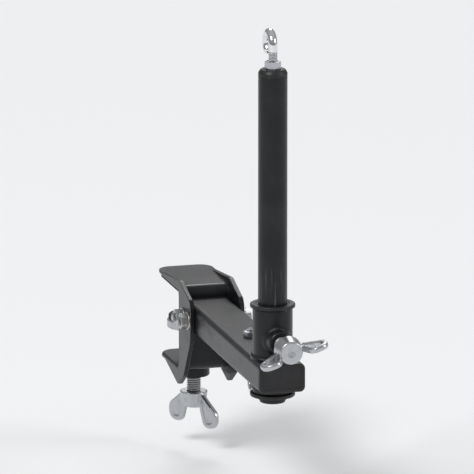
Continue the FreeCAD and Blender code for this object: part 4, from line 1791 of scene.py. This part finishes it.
@dataclass
class Studio:
    """Pale floor, soft lamps, and a camera that looks from the photographed side, from as far away."""

    azimuth: float = -15.2
    elevation: float = 13.4
    distance: float = 5.0
    frame_height: float = 0.262
    sensor_width: float = 36.0
    clip: Pair = (0.05, 50.0)
    floor_height: float = -0.0965
    floor_size: float = 60.0
    floor_colour: Triple = (0.89, 0.895, 0.90)
    sky_colour: Triple = (0.97, 0.985, 1.0)
    overhead: float = 0.52
    around: float = 0.26
    lamps: tuple[Lamp, ...] = (
        Lamp("key_lamp", (-2.6, -2.0, 3.3), 1.5, 112.0),
        Lamp("fill_lamp", (3.6, -2.2, 1.7), 1.8, 56.0),
        Lamp("back_lamp", (1.0, 3.6, 2.8), 1.6, 50.0),
    )

    def build(self, low: Vector, high: Vector) -> None:
        """Makes the studio round the object's box.

        Args:
            low: the box's lowest corner.
            high: its highest corner.
        """
        middle = (low + high) / 2
        self.floor()
        self.world()
        for lamp in self.lamps:
            lamp.stand(middle)
        self.camera(middle)

    def floor(self) -> None:
        """The floor, a little under the lowest that the clamp screw goes."""
        plane = Shape()
        bmesh.ops.create_grid(plane.mesh, x_segments=2, y_segments=2, size=self.floor_size / 2)
        data = plane.moved(laid((0, 0, self.floor_height))).spent("floor")
        paint = FinishTree("floor_paint").end("ShaderNodeBsdfDiffuse", {"Color": self.floor_colour})
        data.materials.append(paint)
        stood("floor", data)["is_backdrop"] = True

    def world(self) -> None:
        """Soft light from all round, brighter overhead than at the sides."""
        world = bpy.data.worlds.new("studio")
        world.use_nodes = True
        bpy.context.scene.world = world
        sky = NodeTree(world.node_tree)
        direction = sky.node("ShaderNodeTexCoord").outputs["Generated"]
        parts = sky.node("ShaderNodeSeparateXYZ", None, {0: direction})
        level = sky.node("ShaderNodeMapRange", None, {
            "Value": parts.outputs["Z"], "To Min": self.around, "To Max": self.overhead,
        })
        light = sky.node("ShaderNodeBackground", None, {
            "Color": self.sky_colour, "Strength": level.outputs[0],
        })
        sky.node("ShaderNodeOutputWorld", None, {0: light.outputs[0]})

    def camera(self, middle: Vector) -> None:
        """Stands the camera in the photograph's direction.

        Args:
            middle: the object's middle, which it looks at.
        """
        data = bpy.data.cameras.new("camera")
        data.sensor_width = self.sensor_width
        data.lens = self.sensor_width * self.distance / self.frame_height
        data.clip_start, data.clip_end = self.clip
        turn, rise = math.radians(self.azimuth), math.radians(self.elevation)
        back = Vector((
            math.sin(turn) * math.cos(rise), -math.cos(turn) * math.cos(rise), math.sin(rise),
        ))
        camera = stood("camera", data)
        camera.location = middle + back * self.distance
        camera.rotation_euler = (-back).to_track_quat("-Z", "Y").to_euler()
        bpy.context.scene.camera = camera


def main() -> None:
    """Builds every sub-assembly and the studio."""
    logging.basicConfig(level=logging.INFO, format="%(name)s %(message)s")
    cad_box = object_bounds()
    shop = Workshop(frame["nodes"])
    for assembly in (ClampFrame, OutriggerArm, PostGuide, LowerCordHook, NetPost, PostLock, ClampScrew):
        assembly(shop).build()
    Studio().build(*cad_box)
    bpy.context.scene.view_settings.view_transform = "Standard"


if __name__ == "__main__":
    main()
